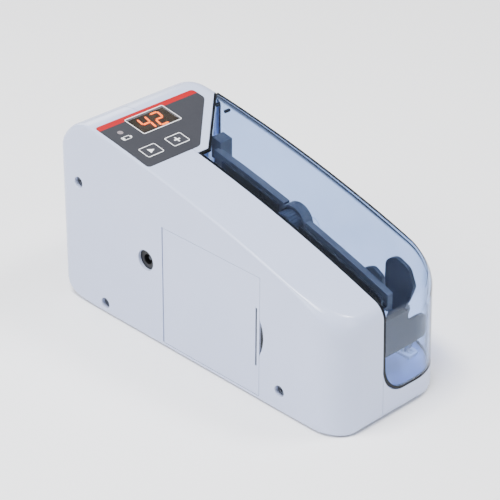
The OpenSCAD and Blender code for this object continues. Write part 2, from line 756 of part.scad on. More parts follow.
module clamp_jaw() {
    lobe = rounded([[jaw_d - 5, jaw_pivot_z + 12], [jaw_d - 8, jaw_top - 17], [jaw_d - 8, jaw_top - 4],
        [jaw_d - 1.5, jaw_top], [jaw_d + 7, jaw_top - 3.5], [jaw_d + 10.5, jaw_top - 12],
        [jaw_d + 5, jaw_pivot_z + 12]], 5, 6);
    y1 = S(jaw_s) + jaw_t / 2;
    color("dimgray") difference() {
        union() {
            translate([0, y1, 0]) rotate([90, 0, 0]) linear_extrude(jaw_t)
                polygon([for (p = lobe) [X(p[0]), p[1]]]);
            span([X(jaw_d) - arm_half, y1 - jaw_t, jaw_pivot_z],
                 [X(jaw_d) + arm_half, y1, jaw_pivot_z + 14]);
            rod_x(S(jaw_s), jaw_pivot_z, jaw_eye_r, X(jaw_d) - arm_half, X(jaw_d) + arm_half);
        }
        rod_x(S(jaw_s), jaw_pivot_z, jaw_pin_r + run_gap, X(jaw_d) - 6, X(jaw_d) + 6);
    }
}

module jaw_bracket() {
    color("dimgray") difference() {
        union() {
            span([X(jaw_d) - 12, S(jaw_s) - 4, base_h], [X(jaw_d) + 12, S(jaw_s) + 4, base_h + 1.6]);
            for (e = [-1, 1]) {
                x = X(jaw_d) + e * (arm_half + 0.4 + ear_half);
                rod_x(S(jaw_s), jaw_pivot_z, jaw_eye_r, x - ear_half, x + ear_half);
                span([x - ear_half, S(jaw_s) - jaw_eye_r, base_h + 1],
                     [x + ear_half, S(jaw_s) + jaw_eye_r, jaw_pivot_z]);
            }
        }
        rod_x(S(jaw_s), jaw_pivot_z, jaw_pin_r, X(jaw_d) - 8, X(jaw_d) + 8);
        for (e = [-1, 1])
            translate([X(jaw_d) + e * bracket_half, S(jaw_s), base_h - 1])
                cylinder(r = 1.1, h = 4, $fn = 24);
    }
}

module jaw_pin() {
    color("silver") rod_x(S(jaw_s), jaw_pivot_z, jaw_pin_r, X(jaw_d) - 8.6, X(jaw_d) + 8.6);
}

// A torsion spring's coils on the pin beside the bracket, with its two legs
module jaw_spring() {
    wire = 0.4;
    coils = 3;
    x0 = X(jaw_d) + 7.2;
    x1 = x0 + (coils - 1) * wire * 1.9;
    color("silver") {
        for (k = [0:coils - 1])
            translate([x0 + k * wire * 1.9, S(jaw_s), jaw_pivot_z]) rotate([0, 90, 0])
                rotate_extrude($fn = 32) translate([jaw_pin_r + wire + 0.1, 0])
                    circle(r = wire, $fn = 12);
        span([x0 - 0.3, S(jaw_s) - 1.9, base_h + 1.6], [x0 + 0.4, S(jaw_s) - 1.2, jaw_pivot_z]);
        span([x1 - 0.3, S(jaw_s) + 1.2, jaw_pivot_z], [x1 + 0.3, S(jaw_s) + 1.9, jaw_pivot_z + 9]);
    }
}

module bracket_screws() {
    color("silver") for (e = [-1, 1])
        translate([X(jaw_d) + e * bracket_half, S(jaw_s), base_h + 2.5]) rotate([180, 0, 0])
            screw(1.7, 0.9, 0.9, 3.2);
}

module front_guide() {
    guide_t = 1.8;
    paddle = rounded([[0, 26.5], [0, 47], [25.5, 47], [26.5, 40.5], [34, 40.5], [40.5, 38.5],
        [41, 26.5]], 2.5, 5);
    color("slategray") {
        translate([X(guide_d), 0, 0]) rotate([90, 0, 90]) linear_extrude(guide_t)
            polygon([for (p = paddle) [S(p[0]), p[1]]]);
        translate([X(guide_d), 0, 0]) span([-2.2, S(0), 39.4], [0, S(26), 41]);
        translate([X(guide_d), 0, 0]) span([-guide_web, S(0), 28.5], [0, S(1.6), 45]);
    }
}

module sensor_window() {
    color("black") strip(hub_d + 39, hub_d + 47, 4, 8.5, cradle_floor - 3.2, cradle_floor - 2);
}

module sensor_emitter() {
    color("black") on_top(hub_d + 26, 5) translate([-2.5, -2, -cradle_floor + 2]) cube([5, 4, 4]);
}

module sensor_receiver() {
    color("black") on_top(hub_d - 28, 6) translate([-2.5, -2, -cradle_floor + 2]) cube([5, 4, 4]);
}

// ---- battery bay ----------------------------------------------------------------------------

tray_t = 1.5;
tray_y0 = inner_y;
tray_depth = 16.4;
tray_z = foot_h + wall + 0.05;
cell_pitch = (door_z1 - tray_z - tray_t) / 4;
cell_y = tray_y0 + tray_depth - cell_r - 0.3;
cell_x0 = (door_x0 + door_x1 - cell_l) / 2;
function cell_z(i) = tray_z + tray_t + cell_pitch * (i + 0.5);

cap_h = 1;           // height of a cell's positive cap
spring_wire = 0.64;
contact_t = 0.4;

module battery_door() {
    slit_x = door_x1 - 2.2;
    color("gainsboro") difference() {
        union() {
            span([door_x0 + door_t / 2, side_y, door_z], [door_x1, side_y + door_t, door_z1]);
            translate([door_x0 + door_t / 2, side_y + door_t / 2, door_z])
                cylinder(r = door_t / 2, h = door_h, $fn = 32);
            translate([door_x0 + door_t / 2, side_y + door_t / 2, door_z - 1.4])
                cylinder(r = 0.6, h = door_h + 2.8, $fn = 32);
        }
        span([slit_x - 0.5, side_y - 1, door_z + 16.2], [slit_x + 0.5, side_y + 5, door_z + 48.6]);
    }
}

module battery_tray() {
    color("whitesmoke") difference() {
        span([door_x0 - tray_t, tray_y0, tray_z],
             [door_x1 + tray_t, tray_y0 + tray_depth + tray_t, door_z1 + tray_t]);
        span([door_x0, tray_y0 - 1, tray_z + tray_t], [door_x1, tray_y0 + tray_depth, door_z1]);
        for (x = [door_x0 + 4, door_x1 - 4])
            rod_y(x, door_z1 - 4, 1.2, tray_y0 + tray_depth - 1, tray_y0 + tray_depth + 3);
    }
}

module aa_cells() {
    color("seagreen") for (i = [0:3]) {
        flip = i % 2 == 0 ? 1 : -1;
        mid = (door_x0 + door_x1) / 2;
        translate([mid - flip * 1.2, 0, 0]) {
            rod_x(cell_y, cell_z(i), cell_r, -cell_l / 2, cell_l / 2 - cap_h);
            translate([flip > 0 ? cell_l / 2 - cap_h : -cell_l / 2 - cap_h, cell_y, cell_z(i)])
                rotate([0, 90, 0]) cylinder(r = 2.7, h = cap_h, $fn = 32);
        }
    }
}

module battery_springs() {
    color("silver") for (i = [0:3]) {
        flip = i % 2 == 0 ? 1 : -1;
        x = flip > 0 ? door_x0 : door_x1;
        for (k = [0:4])
            translate([x + flip * (0.7 + k * 1.25), cell_y, cell_z(i)]) rotate([0, 90, 0])
                rotate_extrude($fn = 32) translate([4 - k * 0.3, 0])
                    circle(r = spring_wire, $fn = 12);
    }
}

module battery_contacts() {
    color("silver") for (i = [0:3]) {
        flip = i % 2 == 0 ? 1 : -1;
        x = flip > 0 ? door_x1 - contact_t : door_x0;
        span([x, cell_y - 4.5, cell_z(i) - 5], [x + contact_t, cell_y + 4.5, cell_z(i) + 5]);
    }
}

// ---- power inlet ----------------------------------------------------------------------------

jack_y0 = side_y + 1.6;
module dc_jack() {
    color("black") difference() {
        union() {
            rod_y(X(jack_d), jack_z, jack_r - fit_gap, jack_y0, inner_y + 0.8);
            span([X(jack_d) - 5.4, inner_y + 0.8, jack_z - 6],
                 [X(jack_d) + 5.4, inner_y + 10, jack_z + 6]);
        }
        rod_y(X(jack_d), jack_z, 2.8, jack_y0 - 1, jack_y0 + 9);
    }
}

module dc_jack_pin() {
    color("silver") rod_y(X(jack_d), jack_z, 1.05, jack_y0 + 1.5, jack_y0 + 9);
}

// ---- control panel --------------------------------------------------------------------------

module panel_overlay() {
    color("dimgray") difference() {
        on_skin(panel_points, 0, panel_t);
        outline_prism(window_points, 0.1);
        for (k = [start_at, add_at])
            on_panel(k[0], k[1])
                cube([key_l + 2 * fit_gap, key_w + 2 * fit_gap, 3 * wall], center = true);
        on_panel(led_at[0], led_at[1]) cylinder(r = led_r + 0.1, h = 3 * wall, center = true, $fn = 32);
    }
}

module display_window() {
    color("saddlebrown", 0.6) on_skin(window_points, 0, panel_t);
}

module display_module() {
    color("black") intersection() {
        on_panel(38.2, 1.3) translate([-6.4, -11.9, -board_depth])
            cube([12.8, 23.8, board_depth + 1]);
        profile_prism(panel_t + 0.2);
    }
}

module low_battery_led() {
    color("red") on_panel(led_at[0], led_at[1]) translate([0, 0, -board_depth])
        cylinder(r = led_r, h = board_depth - 0.1, $fn = 32);
}

key_depth = 4.1;
module key(at) {
    color("dimgray") on_panel(at[0], at[1]) {
        flange = wall + 1.1;
        translate([-key_l / 2, -key_w / 2, -wall - 0.4]) cube([key_l, key_w, wall + 0.4]);
        translate([-key_l / 2 - 0.7, -key_w / 2 - 0.7, -flange]) cube([key_l + 1.4, key_w + 1.4, 0.8]);
        translate([0, 0, -key_depth]) cylinder(r = 1.6, h = key_depth - flange + 0.5, $fn = 32);
    }
}

module start_key() { key(start_at); }
module add_key() { key(add_at); }

module key_switches() {
    color("black") for (k = [start_at, add_at]) on_panel(k[0], k[1]) {
        translate([-3, -3, -board_depth]) cube([6, 6, 3.6]);
        translate([0, 0, -board_depth + 3.5])
            cylinder(r = 1.5, h = board_depth - 3.5 - key_depth - key_travel - 0.1, $fn = 32);
    }
}

module control_board() {
    outline = [[-17, -25.9], [-17, 33], [-9.5, 33], [18, 1], [18, -25.9]];
    color("darkgreen") difference() {
        on_panel(panel_mid, 0) translate([0, 0, -board_depth - board_t])
            linear_extrude(board_t) polygon(outline);
        for (p = board_spots)
            on_panel(p[0], p[1]) translate([0, 0, -board_depth - 5]) cylinder(r = 1.1, h = 8, $fn = 24);
    }
}

module board_screws() {
    color("silver") for (p = board_spots)
        on_panel(p[0], p[1]) translate([0, 0, -board_depth - board_t - 1.4]) screw(1.9, 1, 0.9, 5);
}

module processor_chip() {
    color("black") on_panel(52, -8) translate([-6, -6, -board_depth - board_t - 2.2]) cube([12, 12, 2]);
}

module buzzer() {
    color("black") on_panel(40, 20) translate([0, 0, -board_depth - board_t - 7.8]) difference() {
        cylinder(r = 6, h = 7.5, $fn = 48);
        translate([0, 0, -1]) cylinder(r = 1, h = 2.5, $fn = 24);
    }
}

// A flat insulated lead of width w, along [x, z] points, between y0 and y1
module lead(p, w, y0, y1) {
    n = len(p) - 1;
    function dir(i) = (p[i + 1] - p[i]) / norm(p[i + 1] - p[i]);
    function side(i) =
        let (u = dir(max(i - 1, 0)), v = dir(min(i, n - 1)), m = (u + v) / norm(u + v))
            [-m[1], m[0]] / sqrt((1 + u * v) / 2);
    translate([0, y1, 0]) rotate([90, 0, 0]) linear_extrude(y1 - y0) polygon(concat(
        [for (i = [0:n]) p[i] + side(i) * w / 2],
        [for (i = [n:-1:0]) p[i] - side(i) * w / 2]));
}

lead_t = 1.2;
board_under = top_z(60) - board_depth - board_t - 2.6;

module motor_leads() {
    y = motor_y1 - motor_l + 4;
    over_tray = max(door_z1 + tray_t + 1.3, motor_c[1] + motor_r + 2);
    color("firebrick") for (e = [0, 1])
        lead([[motor_c[0] - 3, motor_c[1] + motor_r - 0.2], [motor_c[0] - 8, over_tray],
              [X(100), over_tray], [X(63), board_under]], lead_t, y - e * 2, y - e * 2 + lead_t);
}

module battery_leads() {
    y = tray_y0 + tray_depth + tray_t + 0.3;
    color("black") for (e = [0, 1])
        lead([[door_x0 + 8, door_z1 - 12 - e * 2.4], [door_x0 - 5 + e * 2.4, door_z1 + 4],
              [X(62) + e * 2.4, board_under]], lead_t, y, y + lead_t);
}

// ---- feet and screws ------------------------------------------------------------------------

module rubber_feet() {
    color("dimgray") for (p = foot_spots)
        translate([X(p[0]), side_y + p[1], 0]) cylinder(r = foot_r, h = foot_h + foot_seat - 0.05, $fn = 48);
}

module housing_screws() {
    color("silver") for (p = screw_spots)
        translate([X(p[0]), side_y + screw_recess_l - 1.6, p[1]]) rotate([-90, 0, 0])
            screw(2.6, 1.6, 1.2, left_w - screw_recess_l + 6);
}

module plate_screws() {
    color("silver") for (p = plate_spots)
        translate([X(p[0]), S(1), p[1]]) rotate([90, 0, 0]) screw(1.9, 1, 1, 8);
}

left_housing();
right_housing();
mechanism_plate();
clear_cover();
cover_hinge_pins();
note_cradle();
fixed_jaw();
clamp_jaw();
jaw_bracket();
jaw_pin();
jaw_spring();
front_guide();
sensor_window();
sensor_emitter();
sensor_receiver();
battery_door();
battery_tray();
battery_springs();
battery_contacts();
aa_cells();
dc_jack();
dc_jack_pin();
panel_overlay();
display_window();
display_module();
low_battery_led();
control_board();
processor_chip();
buzzer();
key_switches();
start_key();
add_key();
motor();
motor_bracket();
motor_pinion();
idler_gear();
idler_axle();
output_gear();
main_shaft();
feed_wheel();
feed_tyre();
shaft_bush();
motor_leads();
battery_leads();
rubber_feet();
housing_screws();
plate_screws();
motor_screws();
board_screws();
cradle_screws();
bracket_screws();
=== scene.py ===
import json
import math

import bmesh
import bpy
from mathutils import Matrix, Vector


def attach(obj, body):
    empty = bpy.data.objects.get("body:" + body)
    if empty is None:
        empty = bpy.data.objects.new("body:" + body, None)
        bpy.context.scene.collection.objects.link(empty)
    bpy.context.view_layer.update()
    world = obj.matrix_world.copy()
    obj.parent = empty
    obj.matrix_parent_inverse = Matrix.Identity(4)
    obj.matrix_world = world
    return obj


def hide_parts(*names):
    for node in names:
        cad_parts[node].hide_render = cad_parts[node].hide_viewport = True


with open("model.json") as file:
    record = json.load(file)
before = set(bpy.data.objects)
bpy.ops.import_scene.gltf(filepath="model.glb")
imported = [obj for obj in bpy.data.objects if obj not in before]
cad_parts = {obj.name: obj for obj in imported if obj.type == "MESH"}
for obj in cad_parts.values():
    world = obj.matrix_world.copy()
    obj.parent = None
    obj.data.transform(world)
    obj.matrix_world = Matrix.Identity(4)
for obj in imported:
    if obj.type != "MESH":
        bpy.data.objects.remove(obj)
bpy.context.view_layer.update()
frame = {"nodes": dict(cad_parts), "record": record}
scene = bpy.context.scene

# Lengths are in millimetres until a piece is finished. "d" runs forward from the rear face, and "s"
# runs across from the plane where the two housings meet.
MM = 0.001
LENGTH = 200.0
SIDE, SPLIT, FAR = -41.25, -10.75, 41.25
UNDERSIDE = 0.8
WALL, COVER_WALL = 2.2, 1.8
FILM = 0.6
# A cutting solid reaches at least this far past what it cuts
PAST = 1


def X(d):
    return d - LENGTH / 2


# ---- camera and lights ------------------------------------------------------------------------

# How far the camera turns, tilts down and rolls, in degrees. These lengths are in metres, but for
# the lens and its sensor.
CAMERA_ANGLES = 45.24, 29.57, 0.453
CAMERA_PLACE = 0.6122, -0.6087, 0.5385
LENS, SENSOR = 143.2, 36
CLIP = 0.05, 30


def place_camera():
    turn, tilt, roll = (math.radians(a) for a in CAMERA_ANGLES)
    ahead = Vector((-math.sin(turn) * math.cos(tilt), math.cos(turn) * math.cos(tilt),
                    -math.sin(tilt)))
    right = Vector((math.cos(turn), math.sin(turn), 0))
    up = right.cross(ahead)
    across = right * math.cos(roll) + up * math.sin(roll)
    above = up * math.cos(roll) - right * math.sin(roll)
    camera = bpy.data.objects.new("studio_camera", bpy.data.cameras.new("studio_camera"))
    camera.data.lens = LENS
    camera.data.sensor_width = SENSOR
    camera.data.clip_start, camera.data.clip_end = CLIP
    turned = Matrix((across, above, -ahead)).transposed().to_4x4()
    camera.matrix_world = Matrix.Translation(CAMERA_PLACE) @ turned
    scene.collection.objects.link(camera)
    scene.camera = camera


def softbox(name, place, target, size, power, colour=(1, 1, 1)):
    lamp = bpy.data.lights.new(name, "AREA")
    lamp.shape = "RECTANGLE"
    lamp.size, lamp.size_y = size
    lamp.energy = power
    lamp.color = colour
    box = bpy.data.objects.new(name, lamp)
    box.location = place
    box.rotation_mode = "QUATERNION"
    box.rotation_quaternion = (Vector(target) - Vector(place)).to_track_quat("-Z", "Y")
    scene.collection.objects.link(box)


place_camera()
softbox("key_softbox", (-0.45, -1.5, 1.15), (0, 0, 0.04), (1.3, 0.9), 31)
softbox("overhead_softbox", (0.0, -0.45, 1.5), (0, 0, 0.05), (0.7, 0.3), 38)
softbox("front_softbox", (1.6, 0.15, 0.75), (0.05, 0, 0.05), (0.9, 1.1), 9, (0.93, 0.96, 1))
softbox("top_front_softbox", (0.55, 0.6, 1.4), (0, 0, 0.05), (0.4, 0.4), 17)
softbox("rear_softbox", (-1.7, 0.7, 0.7), (0, 0, 0.05), (1.0, 0.8), 14)

world = bpy.data.worlds.new("studio")
scene.world = world
world.use_nodes = True
surround = world.node_tree.nodes["Background"]
surround.inputs["Color"].default_value = (0.93, 0.95, 1.0, 1)
surround.inputs["Strength"].default_value = 0.45


# ---- finishes ---------------------------------------------------------------------------------


def link(tree, a, b):
    tree.links.new(a, b)


def node(tree, kind, **settings):
    made = tree.nodes.new(kind)
    for name, value in settings.items():
        setattr(made, name, value)
    return made


def noise(tree, place, scale, detail=3.0, rough=0.5):
    made = node(tree, "ShaderNodeTexNoise")
    if isinstance(scale, (int, float)):
        made.inputs["Scale"].default_value = scale
    else:
        link(tree, scale, made.inputs["Scale"])
    made.inputs["Detail"].default_value = detail
    made.inputs["Roughness"].default_value = rough
    link(tree, place, made.inputs["Vector"])
    return made.outputs["Fac"]


def value_range(tree, value, low, high, to_low=0.0, to_high=1.0):
    made = node(tree, "ShaderNodeMapRange")
    for label, v in (("From Min", low), ("From Max", high), ("To Min", to_low),
                     ("To Max", to_high)):
        made.inputs[label].default_value = v
    link(tree, value, made.inputs["Value"])
    return made.outputs["Result"]


def math_node(tree, operation, a, b):
    made = node(tree, "ShaderNodeMath", operation=operation)
    for socket, v in zip(made.inputs, (a, b)):
        if isinstance(v, (int, float)):
            socket.default_value = v
        else:
            link(tree, v, socket)
    return made.outputs[0]


def mix_colour(tree, share, a, b):
    made = node(tree, "ShaderNodeMix", data_type="RGBA")
    for socket, v in ((made.inputs[0], share), (made.inputs[6], a), (made.inputs[7], b)):
        if isinstance(v, (int, float, tuple)):
            socket.default_value = v
        else:
            link(tree, v, socket)
    return made.outputs[2]


def group(name, ins, outs):
    tree = bpy.data.node_groups.new(name, "ShaderNodeTree")
    for label, kind, value in ins:
        socket = tree.interface.new_socket(label, in_out="INPUT", socket_type=kind)
        socket.default_value = value
    for label, kind in outs:
        tree.interface.new_socket(label, in_out="OUTPUT", socket_type=kind)
    return tree, node(tree, "NodeGroupInput"), node(tree, "NodeGroupOutput")


VALUE, COLOUR, VECTOR = "NodeSocketFloat", "NodeSocketColor", "NodeSocketVector"
# Scales of the patterns, in repeats per metre, from the broadest to the finest
DRIFT_SCALE, SMEAR_SCALE, TARNISH_SCALE, RUB_SCALE, SPECKLE_SCALE = 28.0, 75.0, 160.0, 240.0, 900.0
# How far into a corner the dust and painted shade reach, and how wide an edge rubs bright, in
# metres
CORNER_REACH, EDGE_REACH = 0.004, 0.0004
# Height of the moulding grain and of the turning lines, in metres
GRAIN_HEIGHT, LINE_HEIGHT = 0.00004, 0.00003


def put_out(tree, out, colour, rough, bump):
    link(tree, colour, out.inputs["Colour"])
    link(tree, rough, out.inputs["Roughness"])
    link(tree, bump.outputs["Normal"], out.inputs["Normal"])


def surface_group():
    """Colour drift, handling marks, worn edges, corner dust with painted shade and fine moulding
    grain.
    """
    tree, inp, out = group(
        "surface",
        [("Colour", COLOUR, (0.8, 0.8, 0.8, 1)), ("Drift Colour", COLOUR, (0.7, 0.7, 0.7, 1)),
         ("Drift", VALUE, 0.3), ("Edge Colour", COLOUR, (1, 1, 1, 1)), ("Edge Wear", VALUE, 0.2),
         ("Dust And Shade Colour", COLOUR, (0.3, 0.3, 0.3, 1)), ("Dust And Shade", VALUE, 0.2),
         ("Roughness", VALUE, 0.4), ("Marks", VALUE, 0.1), ("Grain Scale", VALUE, 2500.0),
         ("Grain Depth", VALUE, 0.2)],
        [("Colour", COLOUR), ("Roughness", VALUE), ("Normal", VECTOR)],
    )
    place = node(tree, "ShaderNodeTexCoord").outputs["Object"]
    drift = value_range(tree, noise(tree, place, DRIFT_SCALE, 4.0), 0.35, 0.7)
    colour = mix_colour(tree, math_node(tree, "MULTIPLY", drift, inp.outputs["Drift"]),
                        inp.outputs["Colour"], inp.outputs["Drift Colour"])
    # Dust and painted shade: a darker, speckled colour where ambient occlusion finds corners and
    # recesses
    corner = node(tree, "ShaderNodeAmbientOcclusion", samples=6)
    corner.inputs["Distance"].default_value = CORNER_REACH
    shade = value_range(tree, corner.outputs["AO"], 0.35, 0.85, 1.0, 0.0)
    speckle = value_range(tree, noise(tree, place, SPECKLE_SCALE, 5.0, 0.65), 0.35, 0.65)
    dust_and_shade = math_node(tree, "MULTIPLY", math_node(tree, "MULTIPLY", shade, speckle),
                     inp.outputs["Dust And Shade"])
    colour = mix_colour(tree, dust_and_shade, colour, inp.outputs["Dust And Shade Colour"])
    rim = node(tree, "ShaderNodeBevel", samples=4)
    rim.inputs["Radius"].default_value = EDGE_REACH
    face = node(tree, "ShaderNodeNewGeometry")
    same = node(tree, "ShaderNodeVectorMath", operation="DOT_PRODUCT")
    link(tree, rim.outputs["Normal"], same.inputs[0])
    link(tree, face.outputs["Normal"], same.inputs[1])
    edge = value_range(tree, same.outputs["Value"], 0.80, 0.995, 1.0, 0.0)
    rubbed = value_range(tree, noise(tree, place, RUB_SCALE, 4.0), 0.4, 0.6)
    wear = math_node(tree, "MULTIPLY", math_node(tree, "MULTIPLY", edge, rubbed),
                     inp.outputs["Edge Wear"])
    colour = mix_colour(tree, wear, colour, inp.outputs["Edge Colour"])
    smear = value_range(tree, noise(tree, place, SMEAR_SCALE, 6.0, 0.7), 0.3, 0.75, -0.5, 0.5)
    rough = math_node(tree, "ADD", inp.outputs["Roughness"],
                      math_node(tree, "MULTIPLY", smear, inp.outputs["Marks"]))
    rough = math_node(tree, "ADD", rough, math_node(tree, "MULTIPLY", dust_and_shade, 0.3))
    fine = noise(tree, place, inp.outputs["Grain Scale"], 2.0)
    bump = node(tree, "ShaderNodeBump")
    bump.inputs["Distance"].default_value = GRAIN_HEIGHT
    link(tree, inp.outputs["Grain Depth"], bump.inputs["Strength"])
    link(tree, fine, bump.inputs["Height"])
    put_out(tree, out, colour, rough, bump)
    return tree


def metal_group():
    """Fine turning lines and tarnish for bare metal."""
    tree, inp, out = group(
        "metal_lines",
        [("Colour", COLOUR, (0.8, 0.8, 0.8, 1)), ("Tarnish", COLOUR, (0.4, 0.4, 0.4, 1)),
         ("Roughness", VALUE, 0.3), ("Line Scale", VALUE, 900.0), ("Depth", VALUE, 0.2)],
        [("Colour", COLOUR), ("Roughness", VALUE), ("Normal", VECTOR)],
    )
    place = node(tree, "ShaderNodeTexCoord").outputs["Object"]
    stretch = node(tree, "ShaderNodeMapping")
    stretch.inputs["Scale"].default_value = (1.0, 14.0, 1.0)
    link(tree, place, stretch.inputs["Vector"])
    lines = noise(tree, stretch.outputs["Vector"], inp.outputs["Line Scale"], 2.0)
    spots = value_range(tree, noise(tree, place, TARNISH_SCALE, 5.0, 0.6), 0.45, 0.75)
    colour = mix_colour(tree, math_node(tree, "MULTIPLY", spots, 0.5), inp.outputs["Colour"],
                        inp.outputs["Tarnish"])
    rough = math_node(tree, "ADD", inp.outputs["Roughness"],
                      value_range(tree, lines, 0.3, 0.7, -0.08, 0.12))
    bump = node(tree, "ShaderNodeBump")
    bump.inputs["Distance"].default_value = LINE_HEIGHT
    link(tree, inp.outputs["Depth"], bump.inputs["Strength"])
    link(tree, lines, bump.inputs["Height"])
    put_out(tree, out, colour, rough, bump)
    return tree


SURFACE, METAL_LINES = surface_group(), metal_group()
FINISHES = {}


def rgb(code):
    """Linear colour from a #rrggbb code."""
    parts = [int(code[i:i + 2], 16) / 255 for i in (1, 3, 5)]
    linear = [c / 12.92 if c <= 0.04045 else ((c + 0.055) / 1.055) ** 2.4 for c in parts]
    return (*linear, 1.0)


def shader(name):
    made = bpy.data.materials.new(name)
    made.use_nodes = True
    FINISHES[name] = made
    return made, made.node_tree, made.node_tree.nodes["Principled BSDF"]


def grouped_look(name, look_group, settings):
    """A finish whose colour, roughness and grain come from one of the two groups."""
    _, tree, bsdf = shader(name)
    look = node(tree, "ShaderNodeGroup", node_tree=look_group)
    for label, value in settings.items():
        look.inputs[label].default_value = value
    link(tree, look.outputs["Colour"], bsdf.inputs["Base Color"])
    link(tree, look.outputs["Roughness"], bsdf.inputs["Roughness"])
    link(tree, look.outputs["Normal"], bsdf.inputs["Normal"])
    return bsdf


def plastic(name, colour, drift, edge, rough, *, dust_and_shade="#3a3c42", wear=0.3, dust_and_shade_share=0.35,
            marks=0.12, grain=2600.0, depth=0.25, coat=0.0, specular=0.5):
    bsdf = grouped_look(name, SURFACE, {
        "Colour": rgb(colour), "Drift Colour": rgb(drift), "Drift": 0.35,
        "Edge Colour": rgb(edge), "Edge Wear": wear, "Dust And Shade Colour": rgb(dust_and_shade), "Dust And Shade": dust_and_shade_share,
        "Roughness": rough, "Marks": marks, "Grain Scale": grain, "Grain Depth": depth,
    })
    bsdf.inputs["Coat Weight"].default_value = coat
    bsdf.inputs["Specular IOR Level"].default_value = specular


def metal(name, colour, tarnish, rough, lines=900.0):
    bsdf = grouped_look(name, METAL_LINES, {
        "Colour": rgb(colour), "Tarnish": rgb(tarnish), "Roughness": rough, "Line Scale": lines,
        "Depth": 0.25,
    })
    bsdf.inputs["Metallic"].default_value = 1.0


plastic("white_shell", "#b7c1de", "#afbad9", "#d8e0f2", 0.21, wear=0.35, dust_and_shade="#8f939d",
        grain=3200.0, depth=0.12, marks=0.08)
plastic("inner_white", "#dfe1e6", "#d4d7de", "#eceef1", 0.45, dust_and_shade="#8d9098")
plastic("dark_grey", "#53504e", "#484644", "#777c87", 0.34, wear=0.6, dust_and_shade="#1d1f24",
        dust_and_shade_share=0.6, specular=0.35)
# A darker copy of dark_grey: painted shade in the cradle's trough; the feed wheel and the front
# guide also take it
plastic("trough_dark", "#1f1b1a", "#181515", "#5d6069", 0.30, wear=0.5, dust_and_shade="#0f1013",
        dust_and_shade_share=0.5, specular=0.35)
plastic("jaw_grey", "#3b3836", "#322f2d", "#6d707a", 0.36, wear=0.7, dust_and_shade="#17181c",
        dust_and_shade_share=0.4, specular=0.35)
plastic("panel_film", "#303137", "#2b2c31", "#45474e", 0.48, wear=0.25, grain=1500.0, depth=0.2,
        specular=0.25)
plastic("key_film", "#323339", "#2d2e33", "#4a4c54", 0.48, wear=0.35, grain=1500.0, depth=0.2,
        specular=0.25)
plastic("red_print", "#a00010", "#92000e", "#bf2434", 0.46, grain=1500.0, depth=0.15, specular=0.3)
# Near-black painted shade for the cover's dark rim, its far edge line and its clips
plastic("cover_painted_shade", "#05070c", "#080b13", "#1c2433", 0.45, wear=0.2, specular=0.15)
metal("screw_zinc", "#585b62", "#44464c", 0.5)
plastic("white_print", "#f2f3f6", "#e4e6ea", "#ffffff", 0.5, grain=1500.0, depth=0.15)
plastic("black_plastic", "#0e0e10", "#141518", "#34363b", 0.42, specular=0.3)
plastic("gear_white", "#e6e6e0", "#d9d8cf", "#f4f4ef", 0.38)
plastic("rubber", "#35363a", "#2b2c30", "#55565a", 0.75, grain=1800.0, depth=0.5)
plastic("cell_wrap", "#2d7a56", "#256a4b", "#7fb59c", 0.3, coat=0.3)
plastic("board_green", "#1f6a44", "#185838", "#5b9b7a", 0.35, coat=0.4)
plastic("red_lead", "#b8342f", "#a32c29", "#d2736f", 0.45)
plastic("black_lead", "#1b1b1d", "#242427", "#45454a", 0.45)
plastic("lens_red", "#8b8186", "#7d747a", "#b9b1b5", 0.2, coat=0.5)
plastic("display_grey", "#5b5651", "#534e4a", "#6a655f", 0.6, dust_and_shade_share=0.1, specular=0.2)
metal("steel", "#b9bcc2", "#8a8d94", 0.28)
metal("plated", "#c8cace", "#94979d", 0.22, lines=500.0)
metal("brass", "#c9a24f", "#8f7434", 0.30)


CLEAR_IOR = 1.31


def clear_plastic(name, tint, lamp_tint, edge=None, density=0.0, depth_tint=None):
    """Tinted clear plastic that lets the lamps light what is behind it.

    With an edge colour it darkens where it is seen at a slant, which paints the shade of its dark
    edges, and with a density its colour deepens with thickness.
    """
    _, tree, bsdf = shader(name)
    out = tree.nodes["Material Output"]
    place = node(tree, "ShaderNodeTexCoord").outputs["Object"]
    smear = noise(tree, place, 60.0, 5.0, 0.65)
    link(tree, value_range(tree, smear, 0.35, 0.75, 0.0, 0.05), bsdf.inputs["Roughness"])
    colour = mix_colour(tree, value_range(tree, smear, 0.3, 0.7), rgb(tint[0]), rgb(tint[1]))
    # The edge colour is painted shade, mixed in where the surface is seen at a slant
    if edge:
        slant = node(tree, "ShaderNodeLayerWeight")
        slant.inputs["Blend"].default_value = 0.5
        painted_slant_shade = value_range(tree, slant.outputs["Facing"], 0.55, 0.82)
        colour = mix_colour(tree, painted_slant_shade, colour, rgb(edge))
    link(tree, colour, bsdf.inputs["Base Color"])
    ripple = node(tree, "ShaderNodeBump")
    ripple.inputs["Strength"].default_value = 0.06
    ripple.inputs["Distance"].default_value = 0.0002
    link(tree, noise(tree, place, 35.0, 2.0), ripple.inputs["Height"])
    link(tree, ripple.outputs["Normal"], bsdf.inputs["Normal"])
    bsdf.inputs["Transmission Weight"].default_value = 1.0
    bsdf.inputs["IOR"].default_value = CLEAR_IOR
    passing = node(tree, "ShaderNodeBsdfTransparent")
    passing.inputs["Color"].default_value = rgb(lamp_tint)
    path = node(tree, "ShaderNodeLightPath")
    either = node(tree, "ShaderNodeMixShader")
    link(tree, path.outputs["Is Shadow Ray"], either.inputs[0])
    link(tree, bsdf.outputs[0], either.inputs[1])
    link(tree, passing.outputs[0], either.inputs[2])
    link(tree, either.outputs[0], out.inputs["Surface"])
    if density:
        inside = node(tree, "ShaderNodeVolumeAbsorption")
        inside.inputs["Color"].default_value = depth_tint
        inside.inputs["Density"].default_value = density
        link(tree, inside.outputs[0], out.inputs["Volume"])


# The clear cover's near-black edge colour paints the shade of its dark edges
clear_plastic("clear_blue", ("#f6f8fc", "#eff3f9"), "#b9c8e0", edge="#0c1424", density=200.0,
              depth_tint=(0.10, 0.41, 0.85, 1))
clear_plastic("smoke_window", ("#b9b4ae", "#b0aba5"), "#a9a49e")


